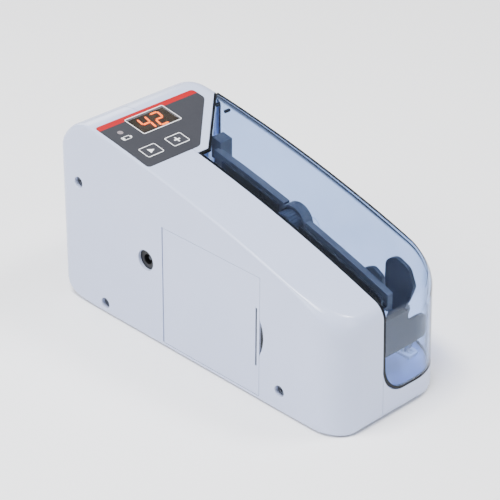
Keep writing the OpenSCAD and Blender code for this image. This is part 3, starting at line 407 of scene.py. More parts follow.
def glowing(name, colour, strength):
    """A lit surface that looks bright but lights nothing round it."""
    made, tree, bsdf = shader(name)
    place = node(tree, "ShaderNodeTexCoord").outputs["Object"]
    grain = value_range(tree, noise(tree, place, 900.0, 2.0), 0.3, 0.7)
    light = mix_colour(tree, grain, rgb(colour[0]), rgb(colour[1]))
    link(tree, light, bsdf.inputs["Emission Color"])
    bsdf.inputs["Emission Strength"].default_value = strength
    bsdf.inputs["Base Color"].default_value = rgb(colour[0])
    bsdf.inputs["Roughness"].default_value = 0.5
    made.cycles.emission_sampling = "NONE"


glowing("lit_segment", ("#ff6a10", "#ff9030"), 7.0)
glowing("segment_halo", ("#c84a10", "#b0420e"), 0.7)


def floor_paint():
    _, tree, bsdf = shader("studio_floor")
    place = node(tree, "ShaderNodeTexCoord").outputs["Object"]
    drift = noise(tree, place, 9.0)
    colour = mix_colour(tree, drift, (0.90, 0.90, 0.91, 1), (0.92, 0.92, 0.925, 1))
    link(tree, colour, bsdf.inputs["Base Color"])
    bsdf.inputs["Roughness"].default_value = 0.85


floor_paint()

NODE_FINISHES = {
    "white_shell": ("battery_door", "left_housing", "right_housing"),
    "inner_white": ("mechanism_plate", "battery_tray", "jaw_bracket", "bracket_screws"),
    "dark_grey": ("note_cradle",),
    "trough_dark": ("feed_wheel", "front_guide"),
    "jaw_grey": ("fixed_jaw", "clamp_jaw"),
    "black_plastic": ("dc_jack", "sensor_window", "sensor_emitter", "sensor_receiver",
                      "processor_chip", "buzzer", "key_switches"),
    "gear_white": ("idler_gear", "output_gear"),
    "steel": ("main_shaft", "idler_axle", "jaw_pin", "cover_hinge_pins", "motor", "motor_bracket",
              "plate_screws", "motor_screws", "board_screws", "cradle_screws"),
    "plated": ("jaw_spring", "battery_springs", "battery_contacts"),
    "brass": ("shaft_bush", "motor_pinion"),
    "screw_zinc": ("housing_screws", "dc_jack_pin"),
    "rubber": ("feed_tyre", "rubber_feet"),
    "cell_wrap": ("aa_cells",),
    "board_green": ("control_board",),
    "lens_red": ("low_battery_led",),
    "red_lead": ("motor_leads",),
    "black_lead": ("battery_leads",),
    "panel_film": ("panel_overlay",),
    "key_film": ("start_key", "add_key"),
    "smoke_window": ("display_window",),
    "clear_blue": ("clear_cover",),
    "display_grey": ("display_module",),
}
for finish, names in NODE_FINISHES.items():
    for name in names:
        mesh = frame["nodes"][name].data
        mesh.materials.clear()
        mesh.materials.append(FINISHES[finish])

BODY_OF = {name: body for body, names in frame["record"]["behaviour"]["bodies"].items()
           for name in names}


# ---- shaping helpers --------------------------------------------------------------------------

# Points nearer than this after a cut are one point
WELD = 0.002


def as_object(bm, name="tool"):
    mesh = bpy.data.meshes.new(name)
    bm.to_mesh(mesh)
    bm.free()
    made = bpy.data.objects.new(name, mesh)
    scene.collection.objects.link(made)
    return made


def discard(*objects):
    for o in objects:
        mesh = o.data
        bpy.data.objects.remove(o)
        bpy.data.meshes.remove(mesh)


def carve(base, *steps):
    """base cut, joined or kept inside other solids, in order."""
    worked = as_object(base)
    tools = []
    for operation, bm in steps:
        tools.append(as_object(bm))
        step = worked.modifiers.new("carve", "BOOLEAN")
        step.operation, step.object, step.solver = operation, tools[-1], "EXACT"
    bpy.context.view_layer.update()
    shaped = worked.evaluated_get(bpy.context.evaluated_depsgraph_get())
    mesh = bpy.data.meshes.new_from_object(shaped)
    bm = bmesh.new()
    bm.from_mesh(mesh)
    bpy.data.meshes.remove(mesh)
    discard(worked, *tools)
    bmesh.ops.remove_doubles(bm, verts=bm.verts, dist=WELD)
    bmesh.ops.dissolve_degenerate(bm, dist=WELD, edges=bm.edges)
    return bm


def round_edges(bm, width, angle, where=None):
    """Rounds the edges that turn by more than angle, or those of them that where picks."""
    edges = [e for e in bm.edges if len(e.link_faces) == 2
             and e.calc_face_angle(0) > math.radians(angle) and (where is None or where(e))]
    bmesh.ops.bevel(bm, geom=edges, offset=width, offset_type="OFFSET", segments=2, profile=0.5,
                    affect="EDGES", clamp_overlap=True, material=-1)


def piece(name, bm, body, finish, *more, slot=None, stands_for=(), sharp=32, even=True):
    """Finishes a mesh as a piece that rides on a body."""
    bmesh.ops.scale(bm, vec=(MM, MM, MM), verts=bm.verts)
    made = as_object(bm, name)
    for material in (finish, *more):
        made.data.materials.append(FINISHES[material])
    made.data.shade_smooth()
    made.data.set_sharp_from_angle(angle=math.radians(sharp))
    if even:
        weights = made.modifiers.new("even_shading", "WEIGHTED_NORMAL")
        weights.keep_sharp = True
    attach(made, body)
    if stands_for:
        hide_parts(*stands_for)


def loft(sections):
    """A closed solid through a row of outlines with the same number of points."""
    bm = bmesh.new()
    ring = [bm.verts.new(p) for p in sections[0]]
    bm.faces.new(ring)
    for points in sections[1:]:
        edges = [bm.edges.get((ring[i - 1], ring[i])) for i in range(len(ring))]
        grown = bmesh.ops.extrude_edge_only(bm, edges=edges)["geom"]
        fresh = {v for v in grown if isinstance(v, bmesh.types.BMVert)}
        ring = [next(e.other_vert(v) for e in v.link_edges if e.other_vert(v) in fresh)
                for v in ring]
        for v, p in zip(ring, points):
            v.co = p
    bm.faces.new(ring)
    bmesh.ops.recalc_face_normals(bm, faces=bm.faces)
    return bm


def extruded(points, move):
    """A flat outline, extruded along move."""
    bm = bmesh.new()
    face = bm.faces.new([bm.verts.new(p) for p in points])
    grown = bmesh.ops.extrude_face_region(bm, geom=[face])["geom"]
    bmesh.ops.translate(bm, vec=move, verts=[v for v in grown if isinstance(v, bmesh.types.BMVert)])
    bmesh.ops.recalc_face_normals(bm, faces=bm.faces)
    return bm


def block(low, high):
    x0, y0, z0 = low
    x1, y1, z1 = high
    return extruded([(x0, y0, z0), (x1, y0, z0), (x1, y1, z0), (x0, y1, z0)], (0, 0, z1 - z0))


def turned(profile, centre, axis="Y", steps=48):
    """A solid of revolution from (radius, height) points, along an axis through centre."""
    bm = bmesh.new()
    chain = [bm.verts.new((r, 0, h)) for r, h in profile]
    edges = [bm.edges.new(pair) for pair in zip(chain, chain[1:])]
    bmesh.ops.spin(bm, geom=chain + edges, cent=(0, 0, 0), axis=(0, 0, 1), dvec=(0, 0, 0),
                   angle=math.tau, steps=steps, use_merge=True, use_duplicate=False)
    bmesh.ops.remove_doubles(bm, verts=bm.verts, dist=1e-4)
    ends = [e for e in bm.edges if e.is_boundary]
    if ends:
        bmesh.ops.holes_fill(bm, edges=ends, sides=0)
    bmesh.ops.recalc_face_normals(bm, faces=bm.faces)
    turn = {"X": Matrix.Rotation(math.pi / 2, 4, "Y"), "Y": Matrix.Rotation(-math.pi / 2, 4, "X"),
            "Z": Matrix.Identity(4)}[axis]
    bmesh.ops.transform(bm, matrix=Matrix.Translation(centre) @ turn, verts=bm.verts)
    return bm


def rod(centre, radius, length, axis="Y", steps=48):
    return turned([(0, 0), (radius, 0), (radius, length), (0, length)], centre, axis, steps)


def joined(*parts):
    whole = bmesh.new()
    for bm in parts:
        mesh = bpy.data.meshes.new("part")
        bm.to_mesh(mesh)
        bm.free()
        whole.from_mesh(mesh)
        bpy.data.meshes.remove(mesh)
    return whole


# ---- the outer form ---------------------------------------------------------------------------

# Slope of the top behind and before its long curve, and where it turns down into the front
SLOPE_1, SLOPE_2, SLOPE_AT_LIP = (math.radians(a) for a in (8.52, 19.317, 19.57))
# Centre, as (d, z), and radius of each round in the side view
REAR_TOP, REAR_TOP_R = (25.0, 79.2), 25.0
HEEL, HEEL_R = (15.0, 15.8), 15.0
BROW, BROW_R = (-81.99, -688.42), 800.0
LIP, LIP_R = (191.0, 54.947), 9.0
TOE, TOE_R = (196.5, 4.3), 3.5
# Radius of each round in the plan
REAR_SIDE_R, FRONT_LEFT_R, FRONT_RIGHT_R = 7.0, 16.5, 28.0
# The front face leans back by this much for each millimetre of height, from LEAN_FROM forward
LEAN, LEAN_FROM, LEAN_OVER = 0.03966, 150, 33


def top_z(d, inset=0.0):
    """Height of the sloping top, or of the surface that lies inset below it."""
    if d < REAR_TOP[0] + (REAR_TOP_R - inset) * math.sin(SLOPE_1):
        return REAR_TOP[1] + math.sqrt(max((REAR_TOP_R - inset) ** 2 - (d - REAR_TOP[0]) ** 2, 0))
    r = BROW_R - inset
    start, end = (BROW[0] + r * math.sin(a) for a in (SLOPE_1, SLOPE_2))
    if d < start:
        return BROW[1] + r * math.cos(SLOPE_1) + (start - d) * math.tan(SLOPE_1)
    if d < end:
        return BROW[1] + math.sqrt(r * r - (d - BROW[0]) ** 2)
    return BROW[1] + r * math.cos(SLOPE_2) - (d - end) * math.tan(SLOPE_2)


def ease(t):
    t = min(max(t, 0), 1)
    return t * t * (3 - 2 * t)


def lean_back(d, z):
    """How far the front face's lean carries a point back."""
    return ease((d - LEAN_FROM) / LEAN_OVER) * LEAN * (z - UNDERSIDE)


def upper(d, inset):
    """Height of the top along the middle, with the front's lean allowed for."""
    if d > LIP[0] + (LIP_R - inset) * math.sin(SLOPE_AT_LIP):
        return LIP[1] + math.sqrt(max((LIP_R - inset) ** 2 - (d - LIP[0]) ** 2, 0))
    z = top_z(d, inset)
    for _ in range(3):
        z = top_z(d - lean_back(d, z), inset)
    return z


def lower(d, inset):
    """Height of the underside."""
    if d < HEEL[0]:
        return HEEL[1] - math.sqrt(max((HEEL_R - inset) ** 2 - (HEEL[0] - d) ** 2, 0))
    if d > TOE[0]:
        return TOE[1] - math.sqrt(max((TOE_R - inset) ** 2 - (d - TOE[0]) ** 2, 0))
    return UNDERSIDE + inset


def half_plan(d, inset, front_r):
    """How far the plan outline draws in from a side face."""
    for r, away in ((REAR_SIDE_R, REAR_SIDE_R - d), (front_r, d - (LENGTH - front_r))):
        if away > 0:
            return r - math.sqrt(max((r - inset) ** 2 - away ** 2, 0))
    return inset


REAR_BLEND = 30
FRONT_BLEND_FROM, FRONT_BLEND_OVER = 156, 42


def edge_radius(d, rear, middle, front):
    """The radius between two sides: one at the rear, one along the slope and one at the front."""
    if d < REAR_BLEND:
        return middle + (rear - middle) * ease((REAR_BLEND - d) / REAR_BLEND)
    return middle + (front - middle) * ease((d - FRONT_BLEND_FROM) / FRONT_BLEND_OVER) ** 1.6


# Radius of the far upper edge, which is the same all along
FAR_EDGE_R = 10.0
# lower left, lower right, upper right and upper left, at the rear, along the slope and at the front
CORNER_RADII = ((3.0, 1.2, 2.0), (3.0, 1.2, 2.0), (FAR_EDGE_R,) * 3, (5.0, 1.5, 9.0))
CORNER_STEPS = 8
# The sections lie close together over the rear's and the front's rounds
REAR_ROUND, FRONT_ROUND = 25, 28
FRONT_START = 172
MIDDLE_STEP, MIDDLE_SECTIONS = 4.2, 36
FRONT_ANGLES = (1, 5, 9, 13, 18, 23, 28, 33, 38, 43, 48, 53, 58, 62, 66, 70, 74, 78, 82, 85, 88, 90)


def outer_form(inset=0.0):
    """The closed outer form of the whole body, shrunk by inset."""
    stations = [REAR_ROUND - (REAR_ROUND - inset) * math.cos(math.radians(a))
                for a in range(0, 90, 6)]
    stations += [REAR_ROUND + i * MIDDLE_STEP for i in range(MIDDLE_SECTIONS)]
    stations += [FRONT_START + (FRONT_ROUND - inset) * math.sin(math.radians(a))
                 for a in FRONT_ANGLES]
    sections = []
    for d in stations:
        left = SIDE + half_plan(d, inset, FRONT_LEFT_R)
        right = FAR - half_plan(d, inset, FRONT_RIGHT_R)
        high, low = upper(d, inset), lower(d, inset)
        radii = [max(edge_radius(d, *shape) - inset, 0.3) for shape in CORNER_RADII]
        corners = [(left, low, 180), (right, low, 270), (right, high, 0), (left, high, 90)]
        outline = []
        for (y, z, start), r in zip(corners, radii):
            cy, cz = y + (r if y == left else -r), z + (r if z == low else -r)
            for i in range(CORNER_STEPS + 1):
                a = math.radians(start + 90 * i / CORNER_STEPS)
                py, pz = cy + r * math.cos(a), cz + r * math.sin(a)
                outline.append((X(d - lean_back(d, pz)), py, pz))
        sections.append(outline)
    return loft(sections)


def kept_side(bm, sign):
    """The part of a solid on one side of the plane where the housings meet."""
    bmesh.ops.bisect_plane(bm, geom=bm.verts[:] + bm.edges[:] + bm.faces[:], plane_co=(0, SPLIT, 0),
                           plane_no=(0, -sign, 0), clear_outer=True)
    bmesh.ops.holes_fill(bm, edges=[e for e in bm.edges if e.is_boundary], sides=0)
    bmesh.ops.recalc_face_normals(bm, faces=bm.faces)
    return bm


# ---- flat shapes that lie on the sloping top --------------------------------------------------


def sheet_outline(points, radius):
    """A flat face on [d, s] points with rounded corners."""
    bm = bmesh.new()
    bm.faces.new([bm.verts.new((d, s, 0)) for d, s in points])
    if radius:
        bmesh.ops.bevel(bm, geom=bm.verts[:], offset=radius, offset_type="OFFSET", segments=5,
                        profile=0.5, affect="VERTICES", clamp_overlap=True, material=-1)
    return bm


def slab(points, low, high, radius=0.0, rim=0.0, grow=0.0):
    """A flat slab between two heights above the top surface, on an outline grown by grow.

    With a rim, only a border that wide is kept.
    """
    bm = sheet_outline(points, radius)
    if grow:
        middle = sum((v.co for v in bm.verts), Vector()) / len(bm.verts)
        spread = [max(abs(v.co[k] - middle[k]) for v in bm.verts) for k in (0, 1)]
        for v in bm.verts:
            for k in (0, 1):
                v.co[k] = middle[k] + (v.co[k] - middle[k]) * (spread[k] + grow) / spread[k]
    if rim:
        face = bm.faces[:]
        bmesh.ops.inset_region(bm, faces=face, thickness=rim, use_boundary=True,
                               use_even_offset=True)
        bmesh.ops.delete(bm, geom=face, context="FACES")
    grown = bmesh.ops.extrude_face_region(bm, geom=bm.faces[:])["geom"]
    bmesh.ops.translate(bm, vec=(0, 0, low), verts=bm.verts)
    bmesh.ops.translate(bm, vec=(0, 0, high - low),
                        verts=[v for v in grown if isinstance(v, bmesh.types.BMVert)])
    bmesh.ops.recalc_face_normals(bm, faces=bm.faces)
    return bm


# Distance between the cuts that let a flat slab follow the curve of the top
LAY_STEP = 3


def laid(bm, lines=()):
    """Lays a flat slab on the sloping top, cut across at each of the lines."""
    spots = [v.co.x for v in bm.verts]
    at = math.ceil(min(spots) / LAY_STEP) * LAY_STEP
    for d in [*range(at, int(max(spots)) + 1, LAY_STEP), *lines]:
        bmesh.ops.bisect_plane(bm, geom=bm.verts[:] + bm.edges[:] + bm.faces[:], plane_co=(d, 0, 0),
                               plane_no=(1, 0, 0))
    for v in bm.verts:
        v.co = (X(v.co.x), SPLIT + v.co.y, top_z(v.co.x) + v.co.z)
    return bm


def rectangle(d, s, length, width):
    return [(d - length / 2, s - width / 2), (d + length / 2, s - width / 2),
            (d + length / 2, s + width / 2), (d - length / 2, s + width / 2)]


PANEL = [(28, -28.6), (68.3, -29.2), (68.3, 5.2), (37.4, 37.6), (28, 37.6)]
WINDOW = [(30.5, -11.6), (45.8, -11.6), (45.8, 14.2), (30.5, 14.2)]
START, ADD = (58.2, -18.1), (58.1, -0.8)
KEY_L, KEY_W, KEY_ROOM = 8.4, 11.0, 0.3
LAMP = (38.0, -20.5)
DISPLAY_HOLE = (38.2, 1.3, 13.2, 24.2)
PANEL_R, WINDOW_R = 2, 1

# ---- housings ---------------------------------------------------------------------------------

# Past the body on every side
REAR_OUT, FRONT_OUT, HIGH_OUT = -101, 101, 110
DOOR_X0, DOOR_X1, DOOR_Z0, DOOR_Z1, DOOR_GAP = -21.4, 46.6, 3.0, 68.7, 0.25
# Finger notch before the door, a round hole that the door covers but for a crescent, and the
# shallow dish round it
NOTCH_Z, NOTCH_R, NOTCH_WIDTH = 35.85, 25.12, 2.3
DISH_R, DISH_DEPTH, DISH_STEPS = 9.5, 0.5, 8
SCREWS = [(-84.1, 69.9), (-66.0, 6.2), (60.3, 12.0)]
SCREW_BOSS_R, SCREW_BOSS_L = 4.9, 26
SCREW_RECESS = [(0, -1), (3.25, -1), (3.25, 0), (3, 0.25), (3, 3.5), (0, 3.5)]
JACK_X, JACK_Z, JACK_R = -33.7, 45.2, 5.6
TRAY_TOP = 12.5
FEET = [(-78.0, -32.25), (-78.0, 32.25), (76.0, -30.25), (68.0, 29.25)]
FOOT_POCKET_R, FOOT_POCKET_H = 4.65, 2.8
GROOVE_HALF, GROOVE_DEPTH = 0.13, 0.45


def panel_cuts():
    """What the panel, the display and both keys need out of either housing."""
    yield "DIFFERENCE", laid(slab(PANEL, -FILM - 0.05, 3, PANEL_R, grow=0.15))
    yield "DIFFERENCE", laid(slab(rectangle(*DISPLAY_HOLE), -9, PAST))
    for spot in (START, ADD):
        opening = rectangle(*spot, KEY_L + KEY_ROOM, KEY_W + KEY_ROOM)
        yield "DIFFERENCE", laid(slab(opening, -9, PAST))


def foot_cuts():
    for x, y in FEET:
        yield "DIFFERENCE", rod((x, y, -PAST), FOOT_POCKET_R, FOOT_POCKET_H, "Z")


def seam_groove():
    """The shallow line round the body where the two housings meet."""
    web = block((REAR_OUT, SPLIT - GROOVE_HALF, -PAST), (FRONT_OUT, SPLIT + GROOVE_HALF, HIGH_OUT))
    return carve(web, ("DIFFERENCE", outer_form(GROOVE_DEPTH)))


def left_housing():
    curve = [(DISH_R * i / DISH_STEPS, DISH_DEPTH * (1 - (i / DISH_STEPS) ** 2))
             for i in range(1, DISH_STEPS + 1)]
    dish = [(0, DISH_DEPTH), *curve, (DISH_R, -2), (0, -2)]
    through = WALL + 1.5
    steps = [("DIFFERENCE", outer_form(WALL))]
    steps += [("UNION", rod((x, SIDE + 1, z), SCREW_BOSS_R, SCREW_BOSS_L)) for x, z in SCREWS]
    steps += [
        ("DIFFERENCE", block((DOOR_X0 - DOOR_GAP, SIDE - PAST, DOOR_Z0 - DOOR_GAP),
                             (DOOR_X1 + DOOR_GAP, SIDE + WALL + 0.5, DOOR_Z1 + DOOR_GAP))),
        ("DIFFERENCE", rod((DOOR_X1 + NOTCH_WIDTH - NOTCH_R, SIDE - PAST, NOTCH_Z), NOTCH_R,
                           through, steps=160)),
        ("DIFFERENCE", turned(dish, (DOOR_X1, SIDE, NOTCH_Z), steps=72)),
        ("DIFFERENCE", rod((JACK_X, SIDE - PAST, JACK_Z), JACK_R, through)),
    ]
    steps += [("DIFFERENCE", turned(SCREW_RECESS, (x, SIDE, z))) for x, z in SCREWS]
    steps += [("DIFFERENCE", seam_groove()), *panel_cuts(), *foot_cuts()]
    bm = carve(kept_side(outer_form(), -1), *steps)
    piece("left_shell", bm, "housing", "white_shell", slot="white_shell",
          stands_for=["left_housing"])


# Corners of the line, in plan, where the cover meets the housing behind it
COVER_NEAR, COVER_FAR = (72, 7), (34.5, 47.3)
# Round between the chamber's near wall and its floor, at the front
WEB_R, WEB_X0, WEB_X1 = 15, 94, 108
# Beyond the far side, the front and the top
FAR_OUT, COVER_OUT, SKY = 60, 206, 150


def cover_zone(gap):
    """The space that the clear cover closes, kept clear of the housings by gap."""
    slant = gap * 0.4
    near, far = COVER_NEAR[0] + gap, COVER_FAR[0] + gap
    outline = [(near, gap), (near, COVER_NEAR[1] + slant), (far, COVER_FAR[1] + slant),
               (far, FAR_OUT), (COVER_OUT, FAR_OUT), (COVER_OUT, gap)]
    zone = extruded([(X(d), SPLIT + s, TRAY_TOP + gap) for d, s in outline], (0, 0, SKY))
    corner_y, corner_z = SPLIT + gap + WEB_R, TRAY_TOP + gap + WEB_R
    bore = rod((WEB_X0 - PAST, corner_y, corner_z), WEB_R, 20, "X", 96)
    web = carve(block((WEB_X0, SPLIT - PAST, 0), (WEB_X1, corner_y, corner_z)),
                ("DIFFERENCE", bore))
    return carve(zone, ("DIFFERENCE", web))


HINGE_Y, HINGE_Z, HINGE_R = 39.05, 14.95, 2.2
KNUCKLES = (X(78), X(142))
KNUCKLE_L, KNUCKLE_BORE = 8, 1
EAR_AWAY, EAR_L, EAR_ROOM = 6.75, 5, 0.25
# Middle of each of the housing's ears, one on either side of each of the cover's knuckles
EARS = [x + side * EAR_AWAY for x in KNUCKLES for side in (-1, 1)]
# Room for an ear in the cover, inwards and upwards of the hinge's axis
EAR_SLOT_IN, EAR_SLOT_UP = 3.2, 2.6
# The rear hollow runs along the cover's line, a wall behind it, and the low one ends at HOLLOW_X1
HOLLOW_NEAR, HOLLOW_FAR, HOLLOW_X1 = (69.8, 6), (32.3, 46.4), 98
# Half the length of the round cut along the cover's hinge, past both ends of the body
HINGE_OUT = 106


def right_housing():
    near, far = X(HOLLOW_NEAR[0]), X(HOLLOW_FAR[0])
    start = SPLIT - PAST
    hollow = extruded([(REAR_OUT, start, 0), (near, start, 0), (near, SPLIT + HOLLOW_NEAR[1], 0),
                       (far, SPLIT + HOLLOW_FAR[1], 0), (far, FAR_OUT, 0), (REAR_OUT, FAR_OUT, 0)],
                      (0, 0, SKY))
    tray_hollow = block((REAR_OUT, start, 0), (HOLLOW_X1, FAR, TRAY_TOP - WALL))
    inner = carve(outer_form(WALL), ("INTERSECT", carve(hollow, ("UNION", tray_hollow))))
    steps = [("DIFFERENCE", cover_zone(0)), ("DIFFERENCE", inner), ("DIFFERENCE", seam_groove()),
             *panel_cuts(), *foot_cuts()]
    bm = carve(kept_side(outer_form(), 1), *steps)
    ears = []
    for mid in EARS:
        root = block((mid - EAR_L / 2, HINGE_Y - HINGE_R, TRAY_TOP - 1),
                     (mid + EAR_L / 2, FAR, HINGE_Z))
        barrel = rod((mid - EAR_L / 2, HINGE_Y, HINGE_Z), HINGE_R, EAR_L, "X")
        ears.append(carve(barrel, ("UNION", root)))
    piece("right_shell", joined(bm, *ears), "housing", "white_shell", slot="white_shell",
          stands_for=["right_housing"])


def cover_skin(*steps):
    """The part of the cover's wall that the steps leave, with room for the hinge ears."""
    barrel = rod((-HINGE_OUT, HINGE_Y, HINGE_Z), HINGE_R, 2 * HINGE_OUT, "X", 64)
    edge = carve(block((PAST - HINGE_OUT, HINGE_Y, 0), (HINGE_OUT - PAST, FAR + 5, HINGE_Z)),
                 ("DIFFERENCE", barrel))
    steps = [*steps, ("DIFFERENCE", outer_form(COVER_WALL)), ("DIFFERENCE", edge)]
    half = EAR_L / 2 + EAR_ROOM
    steps += [("DIFFERENCE", block((mid - half, HINGE_Y - EAR_SLOT_IN, 0),
                                   (mid + half, FAR + PAST, HINGE_Z + EAR_SLOT_UP)))
              for mid in EARS]
    return carve(outer_form(), *steps)


# Clearance round the cover, and where its rim of painted shade ends and its window starts
COVER_GAP, RIM_END, WINDOW_START = 0.25, 1.45, 1.47


def clear_cover():
    window = cover_skin(("INTERSECT", cover_zone(WINDOW_START)))
    rim = cover_skin(("INTERSECT", cover_zone(COVER_GAP)), ("DIFFERENCE", cover_zone(RIM_END)))
    # The rim takes the near-black finish, painted shade for the cover's dark edge
    for face in rim.faces:
        face.material_index = 1
    tube = [(KNUCKLE_BORE, 0), (HINGE_R, 0), (HINGE_R, KNUCKLE_L), (KNUCKLE_BORE, KNUCKLE_L),
            (KNUCKLE_BORE, 0)]
    knuckles = [turned(tube, (x - KNUCKLE_L / 2, HINGE_Y, HINGE_Z), "X") for x in KNUCKLES]
    piece("side_cover", joined(window, rim, *knuckles), "cover", "clear_blue", "cover_painted_shade",
          slot="clear_blue", stands_for=["clear_cover"])


def far_edge_shade():
    """A dark line of painted shade along the cover's far upper edge, thinner towards the front."""
    turn = math.radians(52)
    sections = []
    for d in [*range(36, FRONT_START, 4),
              *(FRONT_START + FRONT_ROUND * math.sin(math.radians(a)) for a in range(0, 66, 5))]:
        y = FAR - half_plan(d, 0, FRONT_RIGHT_R) - FAR_EDGE_R * (1 - math.cos(turn))
        z = upper(d, 0) - FAR_EDGE_R * (1 - math.sin(turn))
        x = X(d - lean_back(d, z))
        r = 0.7 - 0.5 * ease((d - LEAN_FROM) / 48)
        sections.append([(x, y + r * math.cos(math.radians(a)), z + r * math.sin(math.radians(a)))
                         for a in range(0, 360, 30)])
    piece("cover_far_edge_shade", loft(sections), "cover", "cover_painted_shade")


CLIPS = ((41.5, 43.6), (48.5, 44.0))
CLIP_L, CLIP_W, CLIP_DROP, CLIP_H = 1.2, 3.6, 3.0, 1.4
# A thin raised ring on the inside of the cover, painted white as a highlight
RING_PLACE = (4, FAR - COVER_WALL, 49)
RING_SECTION = [(4.1, -0.25), (4.5, -0.25), (4.5, 0.1), (4.1, 0.1), (4.1, -0.25)]


def cover_details():
    clips = []
    for d, s in CLIPS:
        z = top_z(d, COVER_WALL)
        clips.append(block((X(d), SPLIT + s - CLIP_W, z - CLIP_DROP),
                           (X(d) + CLIP_L, SPLIT + s, z - (CLIP_DROP - CLIP_H))))
    piece("cover_clips", joined(*clips), "cover", "cover_painted_shade")
    piece("cover_ring_highlight", turned(RING_SECTION, RING_PLACE), "cover", "white_print")


# The grip slot lies this far in from the door's front edge
SLOT_IN, SLOT_HALF, SLOT_Z0, SLOT_Z1 = 2.2, 0.48, 19.3, 51.5


def door_shadows():
    """Dark webs of painted shade seen in the door's finger notch and grip slot."""
    disc = rod((DOOR_X1 + 2.25 - NOTCH_R, SIDE + 0.9, NOTCH_Z), NOTCH_R, 1.2, steps=160)
    web = carve(disc, ("INTERSECT", block((DOOR_X1 + 0.4, SIDE, 0), (DOOR_X1 + 5, 0, 80))))
    piece("notch_painted_shade", web, "housing", "black_plastic")
    slot_x = DOOR_X1 - SLOT_IN
    strip = block((slot_x - SLOT_HALF, SIDE + 0.5, SLOT_Z0),
                  (slot_x + SLOT_HALF, SIDE + 0.7, SLOT_Z1))
    piece("grip_slot_painted_shade", strip, "door", "black_plastic")


left_housing()
right_housing()
clear_cover()
door_shadows()
far_edge_shade()
cover_details()

# ---- control panel ----------------------------------------------------------------------------

# Front edge of the red stripe
STRIPE_D = 31.8
LAMP_HOLE_R = 1.6
# The two heights between which a print stands on the film
PRINT = (0.0, 0.04)


def overlay():
    cuts = [("DIFFERENCE", slab(WINDOW, -2, PAST, WINDOW_R, grow=0.1)),
            ("DIFFERENCE", rod((*LAMP, -2), LAMP_HOLE_R, 4, "Z", 32))]
    for spot in (START, ADD):
        opening = rectangle(*spot, KEY_L + KEY_ROOM, KEY_W + KEY_ROOM)
        cuts.append(("DIFFERENCE", slab(opening, -2, PAST, 1.2)))
    bm = laid(carve(slab(PANEL, -FILM, 0, PANEL_R), *cuts), [STRIPE_D])
    for face in bm.faces:
        if face.normal.z > 0.5 and face.calc_center_median().x < X(STRIPE_D):
            face.material_index = 1
    piece("control_film", bm, "housing", "panel_film", "red_print", slot="panel_film",
          stands_for=["panel_overlay"])


def printed(name, bm, body="housing", finish="white_print"):
    piece(name, laid(bm), body, finish, even=False)


# Upper, middle and lower bar of a digit, its width, half a bar's width, the gap where bars meet,
# and how far a digit leans for each millimetre of height
DIGIT_TOP, DIGIT_MID, DIGIT_LOW, DIGIT_W = 33.3, 38.5, 43.7, 5.0
BAR_HALF, BAR_GAP, DIGIT_SLANT = 0.5, 0.2, 0.13
BARS = {
    "top": ((DIGIT_TOP, 0), (DIGIT_TOP, DIGIT_W)),
    "mid": ((DIGIT_MID, 0), (DIGIT_MID, DIGIT_W)),
    "low": ((DIGIT_LOW, 0), (DIGIT_LOW, DIGIT_W)),
    "upper_left": ((DIGIT_TOP, 0), (DIGIT_MID, 0)),
    "upper_right": ((DIGIT_TOP, DIGIT_W), (DIGIT_MID, DIGIT_W)),
    "lower_left": ((DIGIT_MID, 0), (DIGIT_LOW, 0)),
    "lower_right": ((DIGIT_MID, DIGIT_W), (DIGIT_LOW, DIGIT_W)),
}
# Where each digit starts, and the bars that are lit in it
DIGITS = ((-6.6, ("upper_left", "mid", "upper_right", "lower_right")),
          (1.9, ("top", "upper_right", "mid", "lower_left", "low")))
DIGIT_LEVELS, HALO_LEVELS = (-0.70, -0.63), (-0.77, -0.73)


def digit(start, lit):
    """Slanted seven-segment bars in the display, as (d, s) outlines."""
    for name in lit:
        (d0, s0), (d1, s1) = BARS[name]
        run = Vector((d1 - d0, s1 - s0)).normalized()
        side = Vector((-run.y, run.x)) * BAR_HALF
        a, b = Vector((d0, s0)) + run * BAR_GAP, Vector((d1, s1)) - run * BAR_GAP
        points = [a, a + run * BAR_HALF + side, b - run * BAR_HALF + side,
                  b, b - run * BAR_HALF - side, a + run * BAR_HALF - side]
        yield [(p.x, start + p.y + (DIGIT_LOW - p.x) * DIGIT_SLANT) for p in points]


def display():
    piece("display_glass", laid(slab(WINDOW, -FILM, 0, WINDOW_R)), "housing", "smoke_window",
          slot="smoke_window", stands_for=["display_window"])
    printed("display_border", slab(WINDOW, *PRINT, WINDOW_R, rim=0.45))
    bars = [outline for start, lit in DIGITS for outline in digit(start, lit)]
    printed("lit_digits", joined(*[slab(bar, *DIGIT_LEVELS) for bar in bars]), finish="lit_segment")
    printed("digit_halo", joined(*[slab(bar, *HALO_LEVELS, grow=0.45) for bar in bars]),
            finish="segment_halo")


KEY_DEPTH, KEY_CORNER = 2.2, 1.1
ARROW_HALF, ARROW_TAIL, ARROW_POINT = 1.7, 1.5, 2.0
PLUS_HALF, PLUS_REACH = 0.38, 1.9
BATTERY = (43.4, -21.2)


def on_rim(edge):
    return all(v.co.z > -0.1 for v in edge.verts)


